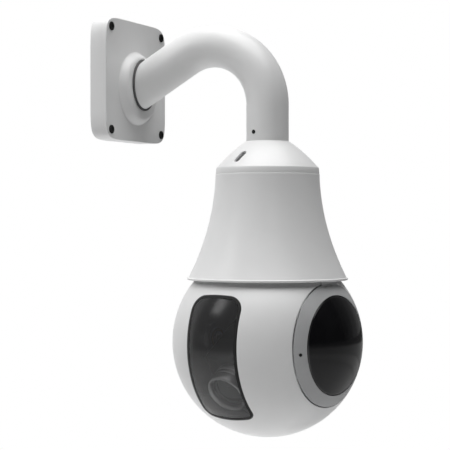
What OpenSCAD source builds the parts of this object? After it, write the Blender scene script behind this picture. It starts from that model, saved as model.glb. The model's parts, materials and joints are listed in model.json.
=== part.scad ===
// Pan, tilt and zoom security camera: a ball head under a flared bell, on a gooseneck wall arm.
// Millimetres, +Z up. The origin is the centre of the wall box's back face, and the wall is the plane y = 0.

/* [Wall box] */
// Width and height of the wall box
box_w = 142; // [138:1:148]
// Depth from the wall to the front of the cover
box_d = 21.5; // [20:0.5:24]
// Thickness of the front cover
cover_t = 5; // [4:0.5:6]
// Spacing of the four cover screws
cover_pitch = 119; // [112:1:120]
// Spacing of the four holes for wall bolts
wall_pitch = 80; // [60:2:90]

/* [Arm] */
// Outside diameter of the arm tube, that of a pipe of one and a half inches
tube_d = 48.3; // [46:0.1:52]
// Wall thickness of the arm tube
tube_wall = 4; // [3:0.5:4.5]
// Rise of the arm where it leaves the wall, in degrees
arm_rise = 30; // [25:1:35]
// Bend radius of the arm's centre line
bend_r = 70; // [62:1:76]
// Distance from the wall to the pan axis
reach = 192; // [186:1:200]

/* [Head] */
// Drop from the centre of the wall box to the centre of the ball
drop = 302; // [298:1:306]
// Radius of the bell at its rim
rim_r = 91; // [91:0.5:94]
// Radius of the bell at its top
bell_top_r = 59; // [58:0.5:61]
// Height of the rim over the ball's centre
rim_z = 70; // [69:0.5:71]

/* [Ball] */
// Diameter of the ball
ball_d = 216; // [214:0.5:217]
// Radius of the round ears at the ball's sides
ear_r = 68; // [66:0.5:68]
// Radius of the dark cap in each ear
ear_cap_r = 55; // [52:0.5:57]
// Width of the window opening
window_w = 67; // [62:1:72]
// Length of the window opening around the ball, in degrees
window_arc = 80; // [76:1:84]
// How far the window reaches below the lens axis, in degrees
window_below = 14; // [12:1:20]

/* [Pose shown] */
// Pan from the wall's own normal, in degrees
pan_rest = -102; // [-180:1:180]
// Tilt of the lens below the horizon, in degrees
tilt_rest = 35; // [0:1:60]

/* [Hidden] */
$fn = 96;
RUN = 0.05;     // radial running clearance of a shaft
FIT = 0.1;      // radial clearance of a screw or a seat
EPS = 0.02;     // overlap that joins two shapes of one piece, or gap between two pieces that touch
CUT = 1;        // how far a cutting shape reaches past the face that it cuts
LAP = 1;        // overlap of two lengths of one tube or arm

// Screws: shank radius, shank length, head radius, head height, socket radius
cover_screw = [2.5, 10, 5, 4.4, 2.3];
cap_screw = [2, 10, 3.6, 3.5, 1.6];
chassis_screw = [1.6, 10, 3, 2, 1.3];
gear_screw = [1.5, 13, 2.6, 2, 1.2];
axle_screw = [2, 9, 3.2, 2.4, 1.5];
ear_screw = [1.2, 2.6, 1.9, 1.5, 0.9];
plate_screw = [1.6, 10, 3, 2, 1.2];

// Wall box
box_power = 8;          // how square the bowed outline is
box_steps = 88;
box_wall = 3.5;
seal_t = 0.3;
seal_inset = 0.5;       // the cover's seal lies this far inside the box's outline
shell_front = -(box_d - cover_t - seal_t);
cover_back = -(box_d - cover_t);
cover_front = -box_d;
post_r = 7;
cover_head_sink = 3;    // depth of the recess under each cover screw's head
wall_hole_r = 3.5;
cable_hole_r = 15;
cable_neck_r = 10;      // cable hole through the cover, the seal and the arm's root
boss_z = -4;            // the arm starts just below the cover's centre
boss_drop = 4;          // the boss is centred lower than the arm's root
boss_h = 9;
boss_foot_r = 42;
boss_lip_r = 35.2;
boss_ease = 0.6;        // how far the boss's curve keeps from its corner

// Arm, measured along y from the wall and z from the box's centre
tube_r = tube_d / 2;
bore_r = tube_r - tube_wall;
arm_seal_r = 31;
arm_seal_t = 2;
arm_root_y = cover_front - boss_h - arm_seal_t;
root_plate_t = 7;       // the tube is closed this far at its root, for the bolts
bolt_short = 2;         // the bolts end this far inside the root
arm_bolt = [3, cover_t + boss_h + arm_seal_t + root_plate_t - bolt_short, 5, 4, 2.5];
arm_bolt_circle = 17;
arm_bolt_angles = [45:90:315];
bend_y = bend_r - reach;
rise_run = bend_y + bend_r * sin(arm_rise);     // y where the bend meets the straight rise
rise_len = (arm_root_y - rise_run) / cos(arm_rise);
bend_z = boss_z + rise_len * sin(arm_rise) - bend_r * cos(arm_rise);
arm_draw = 0.1;         // the straight lengths are drawn this much thinner than the bend

// Cap and bell, measured from the ball's centre
ball_r = ball_d / 2;
bell_wall = 2.6;
bell_steps = 24;
bell_flare_z = 196;     // where the flare's curve starts
bell_z = 190;           // top of the bell, where the cap sits
bell_flange_in = 46;    // the flange inside the bell's top
bell_flange_t = 4;
bead_r = 1.6;           // the rim ends in a rounded bead
bead_at = [rim_r - 1.3, rim_z + 1.4];
bead_span = 230;        // how much of the bead's circle shows, in degrees
bead_steps = 12;
skirt_z = rim_z + 3;    // where the bell's wall runs into the bead
cap_z = 227;            // top of the cap, where the tube ends
cap_root_z = cap_z - 6; // foot of the spigot
cap_wall = 3;
cap_bend = [42, 215.5]; // pull point of the cap's curved slope
cap_hollow = [2.4, 4];  // the slope's inside is pulled in by this
cap_lip = 0.6;          // the cap's top stands out from the tube
cap_foot_z = 197.8;     // foot of the slope
cap_bevel = 1.8;        // the band under the slope leans in by this
cap_edge = 0.7;         // rounding between slope and band
cap_post_r = 4.6;
cap_post_h = 8;
cap_screw_circle = 51;
cap_screw_angles = [30:90:300];
cap_screw_sink = 7.5;   // underside of the screws' heads, below the bell's top
spigot_r = bore_r - arm_draw - FIT;
spigot_bore_r = 16;
spigot_top = 252;
screw_side = 164;       // plan angle of the set screw and of the slot in the cap
set_screw_z = 237;
set_screw_r = 2.4;
set_screw_len = 5.7;
set_screw_bite = 2;     // how far the set screw reaches into the spigot
set_socket_r = 1.3;
set_socket_deep = 2.5;
slot_at = [47, 208.4];  // radius and height of the slot's middle
slot_lean = 45;
slot_len = 16;
slot_w = 5;
slot_deep = 2;
slot_clear = 4;         // room over the slot for its cutter
lock_screw_r = 2.1;
lock_screw_h = 1.1;
lock_screw_x = (slot_len - slot_w) / 2 - 0.3;
lock_socket_r = 1;
lock_socket_deep = 0.7;

// Pan drive, heights from the ball's centre
ledge_z = 129;          // ledge inside the bell that carries the chassis plate
ledge_in_r = 55;
ledge_lip = 3.5;
ledge_foot_z = 118;
ledge_sink = 0.6;       // how far the ledge is sunk into the bell's wall
plate_t = 4;
plate_r = 63.2;
chassis_screw_circle = 59;
chassis_screw_angles = [80:90:350];
chassis_hole_deep = 8;
pad_z = 112;
pad_t = 4;
pad_r = 40;
gear_z = pad_z + pad_t;
gear_t = 7;
gear_module = 1.4;
pressure_angle = 20;
tooth_tip = 0.75;       // stub teeth: height over the pitch circle, in modules
backlash = 0.16;
pan_teeth = 48;
pinion_teeth = 12;
pan_centres = gear_module * (pan_teeth + pinion_teeth) / 2;
motor_side = 40;        // plan angle of the pan motor
pan_motor_r = 16;
pan_motor_h = 23;
pan_motor_neck_r = 6;
pan_shaft_r = 2.5;      // the pan motor's own shaft
pan_shaft_end = 6;      // the motor shaft stops this far below the can's top
bearing_in = 15;
bearing_out = 21;
bearing_mid = (bearing_in + bearing_out) / 2;
bearing_w = 7;
bearing_z = 135;
bearing_seat_wall = 4;
bearing_lip = 1.6;
bearing_ball_r = 1.7;
bearing_race_gap = 2;   // between the two rings
bearing_ball_step = 30;
ball_facets = 24;
groove_facets = 32;
shaft_bore_r = 11.5;
shaft_top = 152;
shaft_shoulder_r = 16.6;
gear_seat_r = 27.4;     // the pan gear is centred on this
gear_flange_r = 30;
gear_flange_t = 3;
gear_screw_circle = 23.5;
gear_screw_deep = 6;
gear_head_z = gear_t + 0.8;
nut_r = 19;
nut_h = 5;
nut_notch_r = 18;
nut_notch_w = 4;
slip_r = 10.5;
slip_flange_z = 158;
slip_flange_r = 20;
slip_flange_t = 3;
slip_pin_r = 4;
slip_pin_len = 10;      // how far the rotor's pin goes into the stator
slip_foot_t = 3;
bridge_half = 34;
bridge_leg = 6;
bridge_w = 10;
bridge_t = 3;
board_z = 170;
board_t = 1.6;
board_r = 52;
board_hole_r = 9;
standoff_circle = 46;
standoff_r = 3;
standoff_angles = [100:120:340];
jack_at = [-38, -8];
jack = [21, 16, 13.4];
jack_wall = 2;
jack_mouth = [13, 12, 8];
sink_at = [14, -14];
sink_w = 28;
sink_base_t = 2;
sink_fins = 7;
sink_fin_t = 1.6;
sink_fin_h = 8;

// Yoke and tilt drum
yoke_gap = 1.2;         // between the ball and the yoke's bowl
bowl_t = 2.8;
bowl_z = 70.8;
ear_x = sqrt(ball_r * ball_r - ear_r * ear_r);  // inner face of each ear
ear_arm_w = 38;
ear_arm_t = 6;
ear_arm_r = 86.9;       // the arms' outside, just clear of the bell
ear_arm_foot_z = 50;
ear_wall = 4;
ear_hub_r = 22;
ear_hub_x = 92;
ear_pocket_r = ear_cap_r - 3.5;
ear_screw_turn = 6;     // the ear screws sit this far round from level
ear_screw_sink = 0.3;
ear_hole_deep = 4.6;
ear_head_deep = 1.8;
cap_sink = 0.4;         // the dark caps lie below the ball's surface by this
cap_shell = 2.6;
drum_x = ear_x - 0.7;   // half the width of the tilting drum
drum_wall = 3;
seam_angle = 107;       // where the drum's two shells meet, from the lens axis
front_lugs = [seam_angle - 150, seam_angle - 30];
rear_lugs = [seam_angle + 30, seam_angle + 150];
lug_circle = 58;
lug_in = 6;
lug = [22, 10];
lug_x = 66;             // inner end of each lug
lug_hole_x = 68;
axle_r = 8;
axle_bore_r = 4;
axle_flange_r = 18;
axle_flange_t = 3;
axle_left_x = 70;
axle_right_x = 58;
axle_screw_circle = 14;
axle_screw_angles = [30:120:270];
axle_hole_deep = 8;
bush_r = 12;
bush_wall = 6;          // of the end plate's hub around the bush
bush_x = 72;            // inner end of each bush
bush_flange_r = 15;
bush_flange_t = 0.5;
end_plate_t = 4;
end_plate_r = 63.2;
end_step_r = 67;
end_step_t = 2;
end_x = drum_x - end_plate_t - end_step_t;      // inner face of each end plate
plate_screw_sink = 0.2;
tilt_teeth = 36;
tilt_gear_x = 62;
tilt_centres = gear_module * (tilt_teeth + pinion_teeth) / 2;
tilt_motor_side = 45;   // angle of the tilt motor, up and behind the axle
tilt_motor_r = 15;
tilt_motor_x = 34;
tilt_motor_len = 23;
tilt_neck_r = 5;
tilt_neck_len = 3;
tilt_shaft_r = 2;
tilt_shaft_x = 40;
bracket_at = [-12, -32];
bracket = [38, 64, 3];
bracket_post_at = [20, 26];
bracket_post_r = 4;
window_corner = 16;
window_steps = 5;
window_seal_w = 3;
window_seal_sink = 0.3;
window_sink = 0.6;
window_t = 2.4;

// Camera block, lens along -y of the drum
block_w = 62;
block_h = 69;
block_front = -70;
block_back = 45;
lens_bore_r = 19.5;
lens_bore_end = 6;
lens_barrel_r = 24;
lens_front = -94;
lens_curve_r = 45;
lens_sink = 2;          // the front lens lies this far inside its barrel
lens_t = 8;
zoom_at = 58;           // back of the zoom group, along the lens
zoom_len = 8;
zoom_r = 14;
zoom_curve = [25, 40];  // centre and radius of its lens face
focus_at = 15;
focus_len = 6;
focus_r = 11;
focus_curve = [-10, 30];
cell_lap = 0.5;         // each lens is sunk into its ring by this
cell_inset = 1;         // and lies this far inside the ring's ends
cell_lens = [5, 4];     // thickness of the zoom and the focus lens
sensor = [14, 1.2, 10];
sensor_plate = [56, 1.6, 60];
cradle_len = 60;
cradle_t = 3;
cradle_tab = [3, 24, 14];

// Frames that the pieces are drawn in

// The ball's centre, with the wall's axes
module at_ball() { translate([0, -reach, -drop]) children(); }

// The yoke: x along the tilt axle, -y to the front
module at_yoke() { at_ball() rotate([0, 0, pan_rest]) children(); }

// The tilting drum: -y along the lens
module at_drum() { at_yoke() rotate([tilt_rest, 0, 0]) children(); }

// Turns z onto x, for shapes revolved about the tilt axle
module about_x() { rotate([0, 90, 0]) children(); }

// Turns z onto -y, for shapes that stand out from the wall or lie along the lens
module out_from_wall() { rotate([90, 0, 0]) children(); }

// A copy on each side of the ball
module both_sides() {
    children();
    mirror([1, 0, 0]) children();
}

// Shapes and curves that repeat

// Four copies at the corners of a square, in the x and z plane
module corners(pitch) {
    for (x = [-1, 1], z = [-1, 1]) translate([x * pitch / 2, 0, z * pitch / 2]) children();
}

// Bowed square: a superellipse of the given width
function bowed_square(width) = [
    for (i = [0:box_steps - 1])
        let (a = 360 * (i + 0.5) / box_steps)
        width / 2 * [sign(cos(a)) * pow(abs(cos(a)), 2 / box_power),
                     sign(sin(a)) * pow(abs(sin(a)), 2 / box_power)]
];

module bowed_plate(width, back, front) {
    translate([0, back, 0]) out_from_wall() linear_extrude(back - front) polygon(bowed_square(width));
}

// Points along a curve from p to q, pulled towards c
function curve(p, c, q, steps = 12) = [
    for (i = [0:steps]) let (t = i / steps) (1 - t) * (1 - t) * p + 2 * t * (1 - t) * c + t * t * q
];

// Points on a circle, from one angle to another
function arc(r, from, to, steps = 16) = [
    for (i = [0:steps]) let (a = from + (to - from) * i / steps) r * [cos(a), sin(a)]
];

// Points on a sphere around the tilt axle, as radius and distance along it
function ear_arc(r, from, to, steps = 8) = [
    for (i = [0:steps]) let (d = from + (to - from) * i / steps) [d, sqrt(r * r - d * d)]
];

// Radius of the bell at a height over the ball's centre
function bell_r(z) =
    bell_top_r + (rim_r - bell_top_r) * pow(max(0, bell_flare_z - z) / (bell_flare_z - rim_z), 2);

// Spur gear outline with involute flanks and stub teeth
function roll(r, base) = sqrt(max(0, pow(r / base, 2) - 1)) * 180 / PI;
function involute(r, base) = roll(r, base) - atan(roll(r, base) * PI / 180);
function gear_outline(teeth, steps = 3) =
    let (pitch_r = gear_module * teeth / 2,
         base = pitch_r * cos(pressure_angle),
         tip = pitch_r + tooth_tip * gear_module,
         root = pitch_r - gear_module,
         start = max(base, root),
         half = 90 / teeth - backlash / pitch_r * 90 / PI + involute(pitch_r, base))
    [for (i = [0:teeth - 1], side = [-1, 1], k = [0:steps + 1])
        let (step = side < 0 ? k - 1 : steps - k,
             r = step < 0 ? root : start + (tip - start) * step / steps,
             a = 360 * i / teeth + side * (half - involute(max(r, start), base)))
        r * [cos(a), sin(a)]];

module gear(teeth, thickness, bore) {
    difference() {
        linear_extrude(thickness) polygon(gear_outline(teeth));
        translate([0, 0, -CUT]) cylinder(r = bore, h = thickness + 2 * CUT);
    }
}

// A pinion, turned so that its teeth meet those of the gear that its place points away from
module pinion() {
    rotate([0, 0, 180 - 180 / pinion_teeth]) linear_extrude(gear_t) polygon(gear_outline(pinion_teeth));
}

// A screw of a listed size along z: its head's top is at 0, and its shank points down
module screw(size) {
    shank_r = size[0];
    shank_len = size[1];
    head_r = size[2];
    head_h = size[3];
    socket_r = size[4];
    difference() {
        union() {
            translate([0, 0, -head_h]) cylinder(r = head_r, h = head_h);
            translate([0, 0, -head_h - shank_len]) cylinder(r = shank_r, h = shank_len + EPS);
        }
        translate([0, 0, -head_h * 0.6]) cylinder(r = socket_r, h = head_h, $fn = 6);
    }
}

// Holes for a screw of a listed size, from a depth below 0 up past 0
module shank_hole(size, deep) {
    translate([0, 0, -deep]) cylinder(r = size[0] + FIT, h = deep + CUT);
}

module head_hole(size, deep) {
    translate([0, 0, -deep]) cylinder(r = size[2] + FIT, h = deep + CUT);
}

// Tube between two heights
module tube(outer, inner, low, high) {
    difference() {
        translate([0, 0, low]) cylinder(r = outer, h = high - low);
        translate([0, 0, low - CUT]) cylinder(r = inner, h = high - low + 2 * CUT);
    }
}

// Spherical shell about the ball's centre
module shell(outer, inner) {
    difference() {
        sphere(r = outer);
        sphere(r = inner);
    }
}

// Wall box

module wall_box() {
    color("gainsboro") difference() {
        union() {
            difference() {
                bowed_plate(box_w, 0, shell_front);
                bowed_plate(box_w - 2 * box_wall, -box_wall, shell_front - CUT);
            }
            corners(cover_pitch) translate([0, EPS - box_wall, 0]) out_from_wall()
                cylinder(r = post_r, h = EPS - box_wall - shell_front);
        }
        corners(cover_pitch) translate([0, shell_front, 0]) out_from_wall()
            shank_hole(cover_screw, -shell_front - box_wall);
        corners(wall_pitch) translate([0, CUT, 0]) out_from_wall()
            cylinder(r = wall_hole_r, h = box_wall + 2 * CUT);
        translate([0, CUT, 0]) out_from_wall() cylinder(r = cable_hole_r, h = box_wall + 2 * CUT);
    }
}

module box_seal() {
    color("dimgray") difference() {
        bowed_plate(box_w - 2 * seal_inset, shell_front, cover_back);
        bowed_plate(box_w - 2 * (box_wall + seal_inset), shell_front + CUT, cover_back - CUT);
    }
}

module box_cover() {
    color("silver") difference() {
        union() {
            bowed_plate(box_w, cover_back, cover_front);
            translate([0, cover_front + EPS, boss_z - boss_drop]) out_from_wall() rotate_extrude()
                polygon(concat(
                    [[0, 0]],
                    curve([boss_foot_r, 0], [boss_foot_r - boss_ease, boss_h - boss_ease],
                          [boss_lip_r, boss_h + EPS], 8),
                    [[0, boss_h + EPS]]));
        }
        corners(cover_pitch) translate([0, cover_front, 0]) out_from_wall() {
            shank_hole(cover_screw, cover_t + CUT);
            head_hole(cover_screw, cover_head_sink);
        }
        arm_bolt_places() translate([0, cover_front - boss_h, 0]) out_from_wall()
            shank_hole(arm_bolt, cover_t + boss_h + CUT);
        translate([0, cover_back + CUT, boss_z]) out_from_wall()
            cylinder(r = cable_neck_r, h = cover_t + boss_h + 2 * CUT);
    }
}

module cover_screws() {
    head_top = cover_front + cover_head_sink - cover_screw[3];
    color("black") corners(cover_pitch) translate([0, head_top, 0]) out_from_wall() screw(cover_screw);
}

// Arm

// The four bolts that hold the arm to the cover, in the x and z plane
module arm_bolt_places() {
    for (a = arm_bolt_angles)
        translate([arm_bolt_circle * cos(a), 0, boss_z + arm_bolt_circle * sin(a)]) children();
}

module arm_seal() {
    color("dimgray") translate([0, arm_root_y, 0]) difference() {
        translate([0, arm_seal_t, boss_z]) out_from_wall() cylinder(r = arm_seal_r, h = arm_seal_t);
        translate([0, arm_seal_t + CUT, boss_z]) out_from_wall()
            cylinder(r = cable_neck_r, h = arm_seal_t + 2 * CUT);
        arm_bolt_places() out_from_wall() shank_hole(arm_bolt, arm_seal_t + CUT);
    }
}

module arm_bolts() {
    color("gray") arm_bolt_places() translate([0, cover_back + arm_bolt[3], 0]) rotate([-90, 0, 0])
        screw(arm_bolt);
}

// Solid rod that follows the arm's centre line, from the cap up and over to the wall
module arm_path(r, foot_z, wall_end) {
    difference() {
        union() {
            translate([0, -reach, foot_z]) cylinder(r = r - arm_draw, h = bend_z - foot_z + LAP);
            translate([0, bend_y, bend_z]) rotate([90, 0, 90]) rotate([0, 0, 90 - arm_rise])
                rotate_extrude(angle = 90 + arm_rise) translate([bend_r, 0]) circle(r = r);
            translate([0, rise_run, bend_z + bend_r * cos(arm_rise)]) rotate([-90 - arm_rise, 0, 0])
                translate([0, 0, -LAP]) cylinder(r = r - arm_draw, h = rise_len + tube_d);
        }
        translate([-box_w / 2, wall_end, -box_w]) cube([box_w, box_w, 2 * box_w]);
    }
}

module arm_tube() {
    color("gainsboro") difference() {
        arm_path(tube_r, cap_z - drop, arm_root_y);
        arm_path(bore_r, cap_z - drop - CUT, arm_root_y - root_plate_t);
        translate([0, arm_root_y + CUT, boss_z]) out_from_wall()
            cylinder(r = cable_neck_r, h = root_plate_t + 2 * CUT);
        arm_bolt_places() translate([0, arm_root_y - root_plate_t, 0]) out_from_wall()
            shank_hole(arm_bolt, root_plate_t + CUT);
        set_screw_place() translate([0, 0, bore_r - CUT])
            cylinder(r = set_screw_r + FIT, h = tube_wall + 2 * CUT);
    }
}

// The set screw's axis: z points outward through the tube's wall
module set_screw_place() {
    at_ball() rotate([0, 0, screw_side]) translate([0, 0, set_screw_z]) about_x() children();
}

module arm_set_screw() {
    color("black") set_screw_place() difference() {
        translate([0, 0, spigot_r - set_screw_bite]) cylinder(r = set_screw_r, h = set_screw_len);
        translate([0, 0, tube_r - set_socket_deep])
            cylinder(r = set_socket_r, h = set_socket_deep + CUT, $fn = 6);
    }
}

// Cap over the bell

module mount_cap() {
    color("whitesmoke") difference() {
        at_ball() union() {
            rotate_extrude() polygon(concat(
                [[spigot_bore_r, cap_root_z], [spigot_bore_r, cap_z]],
                curve([tube_r + cap_lip, cap_z], cap_bend, [bell_top_r - cap_bevel, cap_foot_z]),
                [[bell_top_r - cap_edge, cap_foot_z - cap_edge], [bell_top_r, bell_z],
                 [bell_top_r - cap_wall, bell_z]],
                curve([bell_top_r - cap_wall - cap_edge, cap_foot_z - cap_wall], cap_bend - cap_hollow,
                      [tube_r - cap_wall, cap_root_z])));
            tube(spigot_r, spigot_bore_r, cap_root_z, spigot_top);
            cap_screw_places() cylinder(r = cap_post_r, h = cap_post_h);
        }
        at_ball() cap_screw_places() mirror([0, 0, 1]) shank_hole(cap_screw, cap_post_h - CUT);
        at_ball() slot_place() slot_shape();
        set_screw_place() translate([0, 0, spigot_r - set_screw_bite])
            cylinder(r = set_screw_r + FIT, h = set_screw_bite + CUT);
    }
}

// The slanted slot on the cap: z points out of the slope, x points down it
module slot_place() {
    rotate([0, 0, screw_side]) translate([slot_at[0], 0, slot_at[1]]) rotate([0, slot_lean, 0]) children();
}

module slot_shape() {
    run = slot_len - slot_w;
    for (end = [-1, 1]) translate([end * run / 2, 0, -slot_deep])
        cylinder(r = slot_w / 2, h = slot_deep + slot_clear);
    translate([-run / 2, -slot_w / 2, -slot_deep]) cube([run, slot_w, slot_deep + slot_clear]);
}

module cap_lock_screw() {
    color("gray") at_ball() slot_place() translate([lock_screw_x, 0, -slot_deep]) difference() {
        cylinder(r = lock_screw_r, h = lock_screw_h);
        translate([0, 0, lock_screw_h - lock_socket_deep])
            cylinder(r = lock_socket_r, h = lock_socket_deep + CUT, $fn = 6);
    }
}

module cap_screw_places() {
    for (a = cap_screw_angles) rotate([0, 0, a]) translate([cap_screw_circle, 0, bell_z]) children();
}

module cap_screws() {
    color("gray") at_ball() cap_screw_places() translate([0, 0, -cap_screw_sink]) mirror([0, 0, 1])
        screw(cap_screw);
}

// Bell

module bell_housing() {
    heights = [for (i = [0:bell_steps]) skirt_z + (bell_z - skirt_z) * i / bell_steps];
    outside = [for (z = heights) [bell_r(z), z]];
    inside = [for (i = [bell_steps:-1:0]) outside[i] - [bell_wall, 0]];
    bead = [for (p = arc(bead_r, -90 - bead_span / 2, -90 + bead_span / 2, bead_steps)) bead_at + p];
    ledge_wall = bell_wall - ledge_sink;
    color("white") at_ball() difference() {
        union() {
            rotate_extrude() polygon(concat(outside, inside, bead));
            rotate_extrude() polygon([
                [ledge_in_r, ledge_z], [ledge_in_r, ledge_z - ledge_lip],
                [bell_r(ledge_foot_z) - ledge_wall, ledge_foot_z], [bell_r(ledge_z) - ledge_wall, ledge_z]]);
            tube(bell_top_r - CUT, bell_flange_in, bell_z - bell_flange_t, bell_z);
        }
        cap_screw_places() shank_hole(cap_screw, bell_flange_t + CUT);
        chassis_screw_places() shank_hole(chassis_screw, chassis_hole_deep);
    }
}

// Pan drive on the chassis plate

module chassis_screw_places() {
    for (a = chassis_screw_angles)
        rotate([0, 0, a]) translate([chassis_screw_circle, 0, ledge_z]) children();
}

module motor_place() {
    rotate([0, 0, motor_side]) translate([pan_centres, 0, 0]) children();
}

module chassis_plate() {
    seat_h = bearing_z + bearing_w + CUT - ledge_z;
    color("slategray") at_ball() difference() {
        translate([0, 0, ledge_z]) {
            cylinder(r = plate_r, h = plate_t);
            cylinder(r = bearing_out + bearing_seat_wall, h = seat_h);
        }
        translate([0, 0, ledge_z - CUT]) cylinder(r = bearing_out - bearing_lip, h = seat_h + 2 * CUT);
        translate([0, 0, bearing_z]) cylinder(r = bearing_out, h = seat_h);
        motor_place() translate([0, 0, ledge_z - CUT])
            cylinder(r = pan_motor_neck_r + FIT, h = plate_t + 2 * CUT);
        chassis_screw_places() translate([0, 0, plate_t]) shank_hole(chassis_screw, plate_t + CUT);
    }
}

module chassis_screws() {
    color("gray") at_ball() chassis_screw_places() translate([0, 0, plate_t + chassis_screw[3]])
        screw(chassis_screw);
}

module pan_motor() {
    color("dimgray") at_ball() motor_place() translate([0, 0, ledge_z + plate_t]) difference() {
        union() {
            cylinder(r = pan_motor_r, h = pan_motor_h);
            translate([0, 0, LAP - plate_t]) cylinder(r = pan_motor_neck_r, h = plate_t);
        }
        translate([0, 0, -plate_t]) cylinder(r = pan_shaft_r + RUN, h = pan_motor_h - plate_t + CUT);
    }
}

module pan_pinion() {
    color("goldenrod") at_ball() motor_place() translate([0, 0, gear_z]) {
        pinion();
        cylinder(r = pan_shaft_r, h = ledge_z + pan_motor_h - gear_z - pan_shaft_end);
    }
}

module bearing_groove() {
    rotate_extrude() translate([bearing_mid, bearing_z + bearing_w / 2])
        circle(r = bearing_ball_r + RUN, $fn = groove_facets);
}

module pan_bearing_outer() {
    color("lightsteelblue") at_ball() difference() {
        tube(bearing_out - EPS, bearing_mid + bearing_race_gap / 2, bearing_z, bearing_z + bearing_w);
        bearing_groove();
    }
}

module pan_bearing_inner() {
    color("lightsteelblue") at_ball() difference() {
        tube(bearing_mid - bearing_race_gap / 2, bearing_in + EPS, bearing_z, bearing_z + bearing_w);
        bearing_groove();
    }
}

module pan_bearing_balls() {
    color("silver") at_ball() for (a = [0:bearing_ball_step:359]) rotate([0, 0, a])
        translate([bearing_mid, 0, bearing_z + bearing_w / 2]) sphere(r = bearing_ball_r, $fn = ball_facets);
}

module slip_ring_bridge() {
    bar_z = slip_flange_z + slip_flange_t + EPS;
    leg_z = ledge_z + plate_t;
    color("slategray") at_ball() rotate([0, 0, motor_side + 90]) difference() {
        union() {
            for (x = [-bridge_half, bridge_half - bridge_leg])
                translate([x, -bridge_w / 2, leg_z]) cube([bridge_leg, bridge_w, bar_z + LAP - leg_z]);
            translate([-bridge_half, -bridge_w / 2, bar_z]) cube([2 * bridge_half, bridge_w, bridge_t]);
        }
        translate([0, 0, bar_z - CUT]) cylinder(r = slip_pin_r, h = bridge_t + 2 * CUT);
    }
}

module slip_ring_stator() {
    color("darkslategray") at_ball() difference() {
        union() {
            translate([0, 0, bearing_z]) cylinder(r = slip_r, h = slip_flange_z - bearing_z + EPS);
            translate([0, 0, slip_flange_z]) cylinder(r = slip_flange_r, h = slip_flange_t);
        }
        translate([0, 0, bearing_z - CUT]) cylinder(r = slip_pin_r + FIT, h = slip_pin_len + 3 * CUT);
    }
}

module slip_ring_rotor() {
    color("goldenrod") at_ball() translate([0, 0, gear_z]) {
        cylinder(r = slip_pin_r, h = bearing_z + slip_pin_len - gear_z);
        cylinder(r = shaft_bore_r, h = slip_foot_t);
    }
}

module main_board() {
    color("darkgreen") at_ball() tube(board_r, board_hole_r, board_z, board_z + board_t);
}

module board_standoffs() {
    foot_z = ledge_z + plate_t;
    color("silver") at_ball() for (a = standoff_angles) rotate([0, 0, a])
        translate([standoff_circle, 0, foot_z]) cylinder(r = standoff_r, h = board_z - foot_z);
}

module network_jack() {
    color("lightgray") at_ball() translate([jack_at[0], jack_at[1], board_z + board_t]) difference() {
        cube(jack);
        translate([-CUT, jack_wall, jack_wall]) cube(jack_mouth + [CUT, 0, 0]);
    }
}

module heat_sink() {
    fin_step = (sink_w - sink_fin_t) / (sink_fins - 1);
    color("darkgray") at_ball() translate([sink_at[0], sink_at[1], board_z + board_t]) {
        cube([sink_w, sink_w, sink_base_t]);
        for (i = [0:sink_fins - 1]) translate([i * fin_step, 0, sink_base_t - FIT])
            cube([sink_fin_t, sink_w, sink_fin_h]);
    }
}

// Yoke, which pans

module yoke() {
    inner = ball_r + yoke_gap;
    outer = inner + bowl_t;
    color("darkgray") at_yoke() difference() {
        union() {
            rotate_extrude() polygon(concat(
                arc(inner, asin(bowl_z / inner), acos(shaft_bore_r / inner)),
                [[shaft_bore_r, gear_z], [pad_r, gear_z]],
                arc(outer, acos(pad_r / outer), asin(bowl_z / outer))));
            both_sides() ear();
        }
        gear_screw_places() shank_hole(gear_screw, gear_screw_deep);
    }
}

module ear() {
    seat = ball_r - cap_shell - cap_sink;
    arm_h = bowl_z + LAP - ear_arm_foot_z;
    difference() {
        union() {
            about_x() rotate_extrude() polygon(concat(
                [[axle_r + FIT, ear_hub_x], [axle_r + FIT, ear_x]],
                ear_arc(ball_r, ear_r, ear_cap_r),
                ear_arc(seat, ear_cap_r, ear_pocket_r, 3),
                [[ear_pocket_r, ear_x + ear_wall], [ear_hub_r, ear_x + ear_wall], [ear_hub_r, ear_hub_x]]));
            intersection() {
                translate([ear_x, -ear_arm_w / 2, ear_arm_foot_z]) cube([ear_arm_t, ear_arm_w, arm_h]);
                translate([0, 0, ear_arm_foot_z - CUT]) cylinder(r = ear_arm_r, h = arm_h + 2 * CUT);
            }
        }
        axle_screw_places() shank_hole(axle_screw, axle_hole_deep);
        ear_screw_places() {
            shank_hole(ear_screw, ear_hole_deep);
            head_hole(ear_screw, ear_head_deep);
        }
    }
}

// On the ear's hub: z points outward along the axle
module axle_screw_places() {
    for (a = axle_screw_angles)
        about_x() rotate([0, 0, a]) translate([axle_screw_circle, 0, ear_hub_x]) children();
}

// On the grey ring at front and rear, square to the ball's surface
module ear_screw_places() {
    lean = asin((ear_r + ear_cap_r) / 2 / ball_r);
    for (a = [-lean, lean])
        rotate([ear_screw_turn, 0, 0]) rotate([0, 0, a]) about_x() translate([0, 0, ball_r]) children();
}

module ear_screws() {
    color("dimgray") at_yoke() both_sides() ear_screw_places()
        translate([0, 0, -ear_screw_sink]) screw(ear_screw);
}

module ear_cap() {
    intersection() {
        shell(ball_r - cap_sink, ball_r - cap_sink - cap_shell);
        about_x() translate([0, 0, ear_x]) cylinder(r = ear_cap_r - FIT, h = ball_r);
    }
}

module ear_cap_right() { color("black") at_yoke() ear_cap(); }

module ear_cap_left() { color("black") at_yoke() mirror([1, 0, 0]) ear_cap(); }

module gear_screw_places() {
    for (a = [0:90:270]) rotate([0, 0, a]) translate([gear_screw_circle, 0, gear_z]) children();
}

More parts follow.
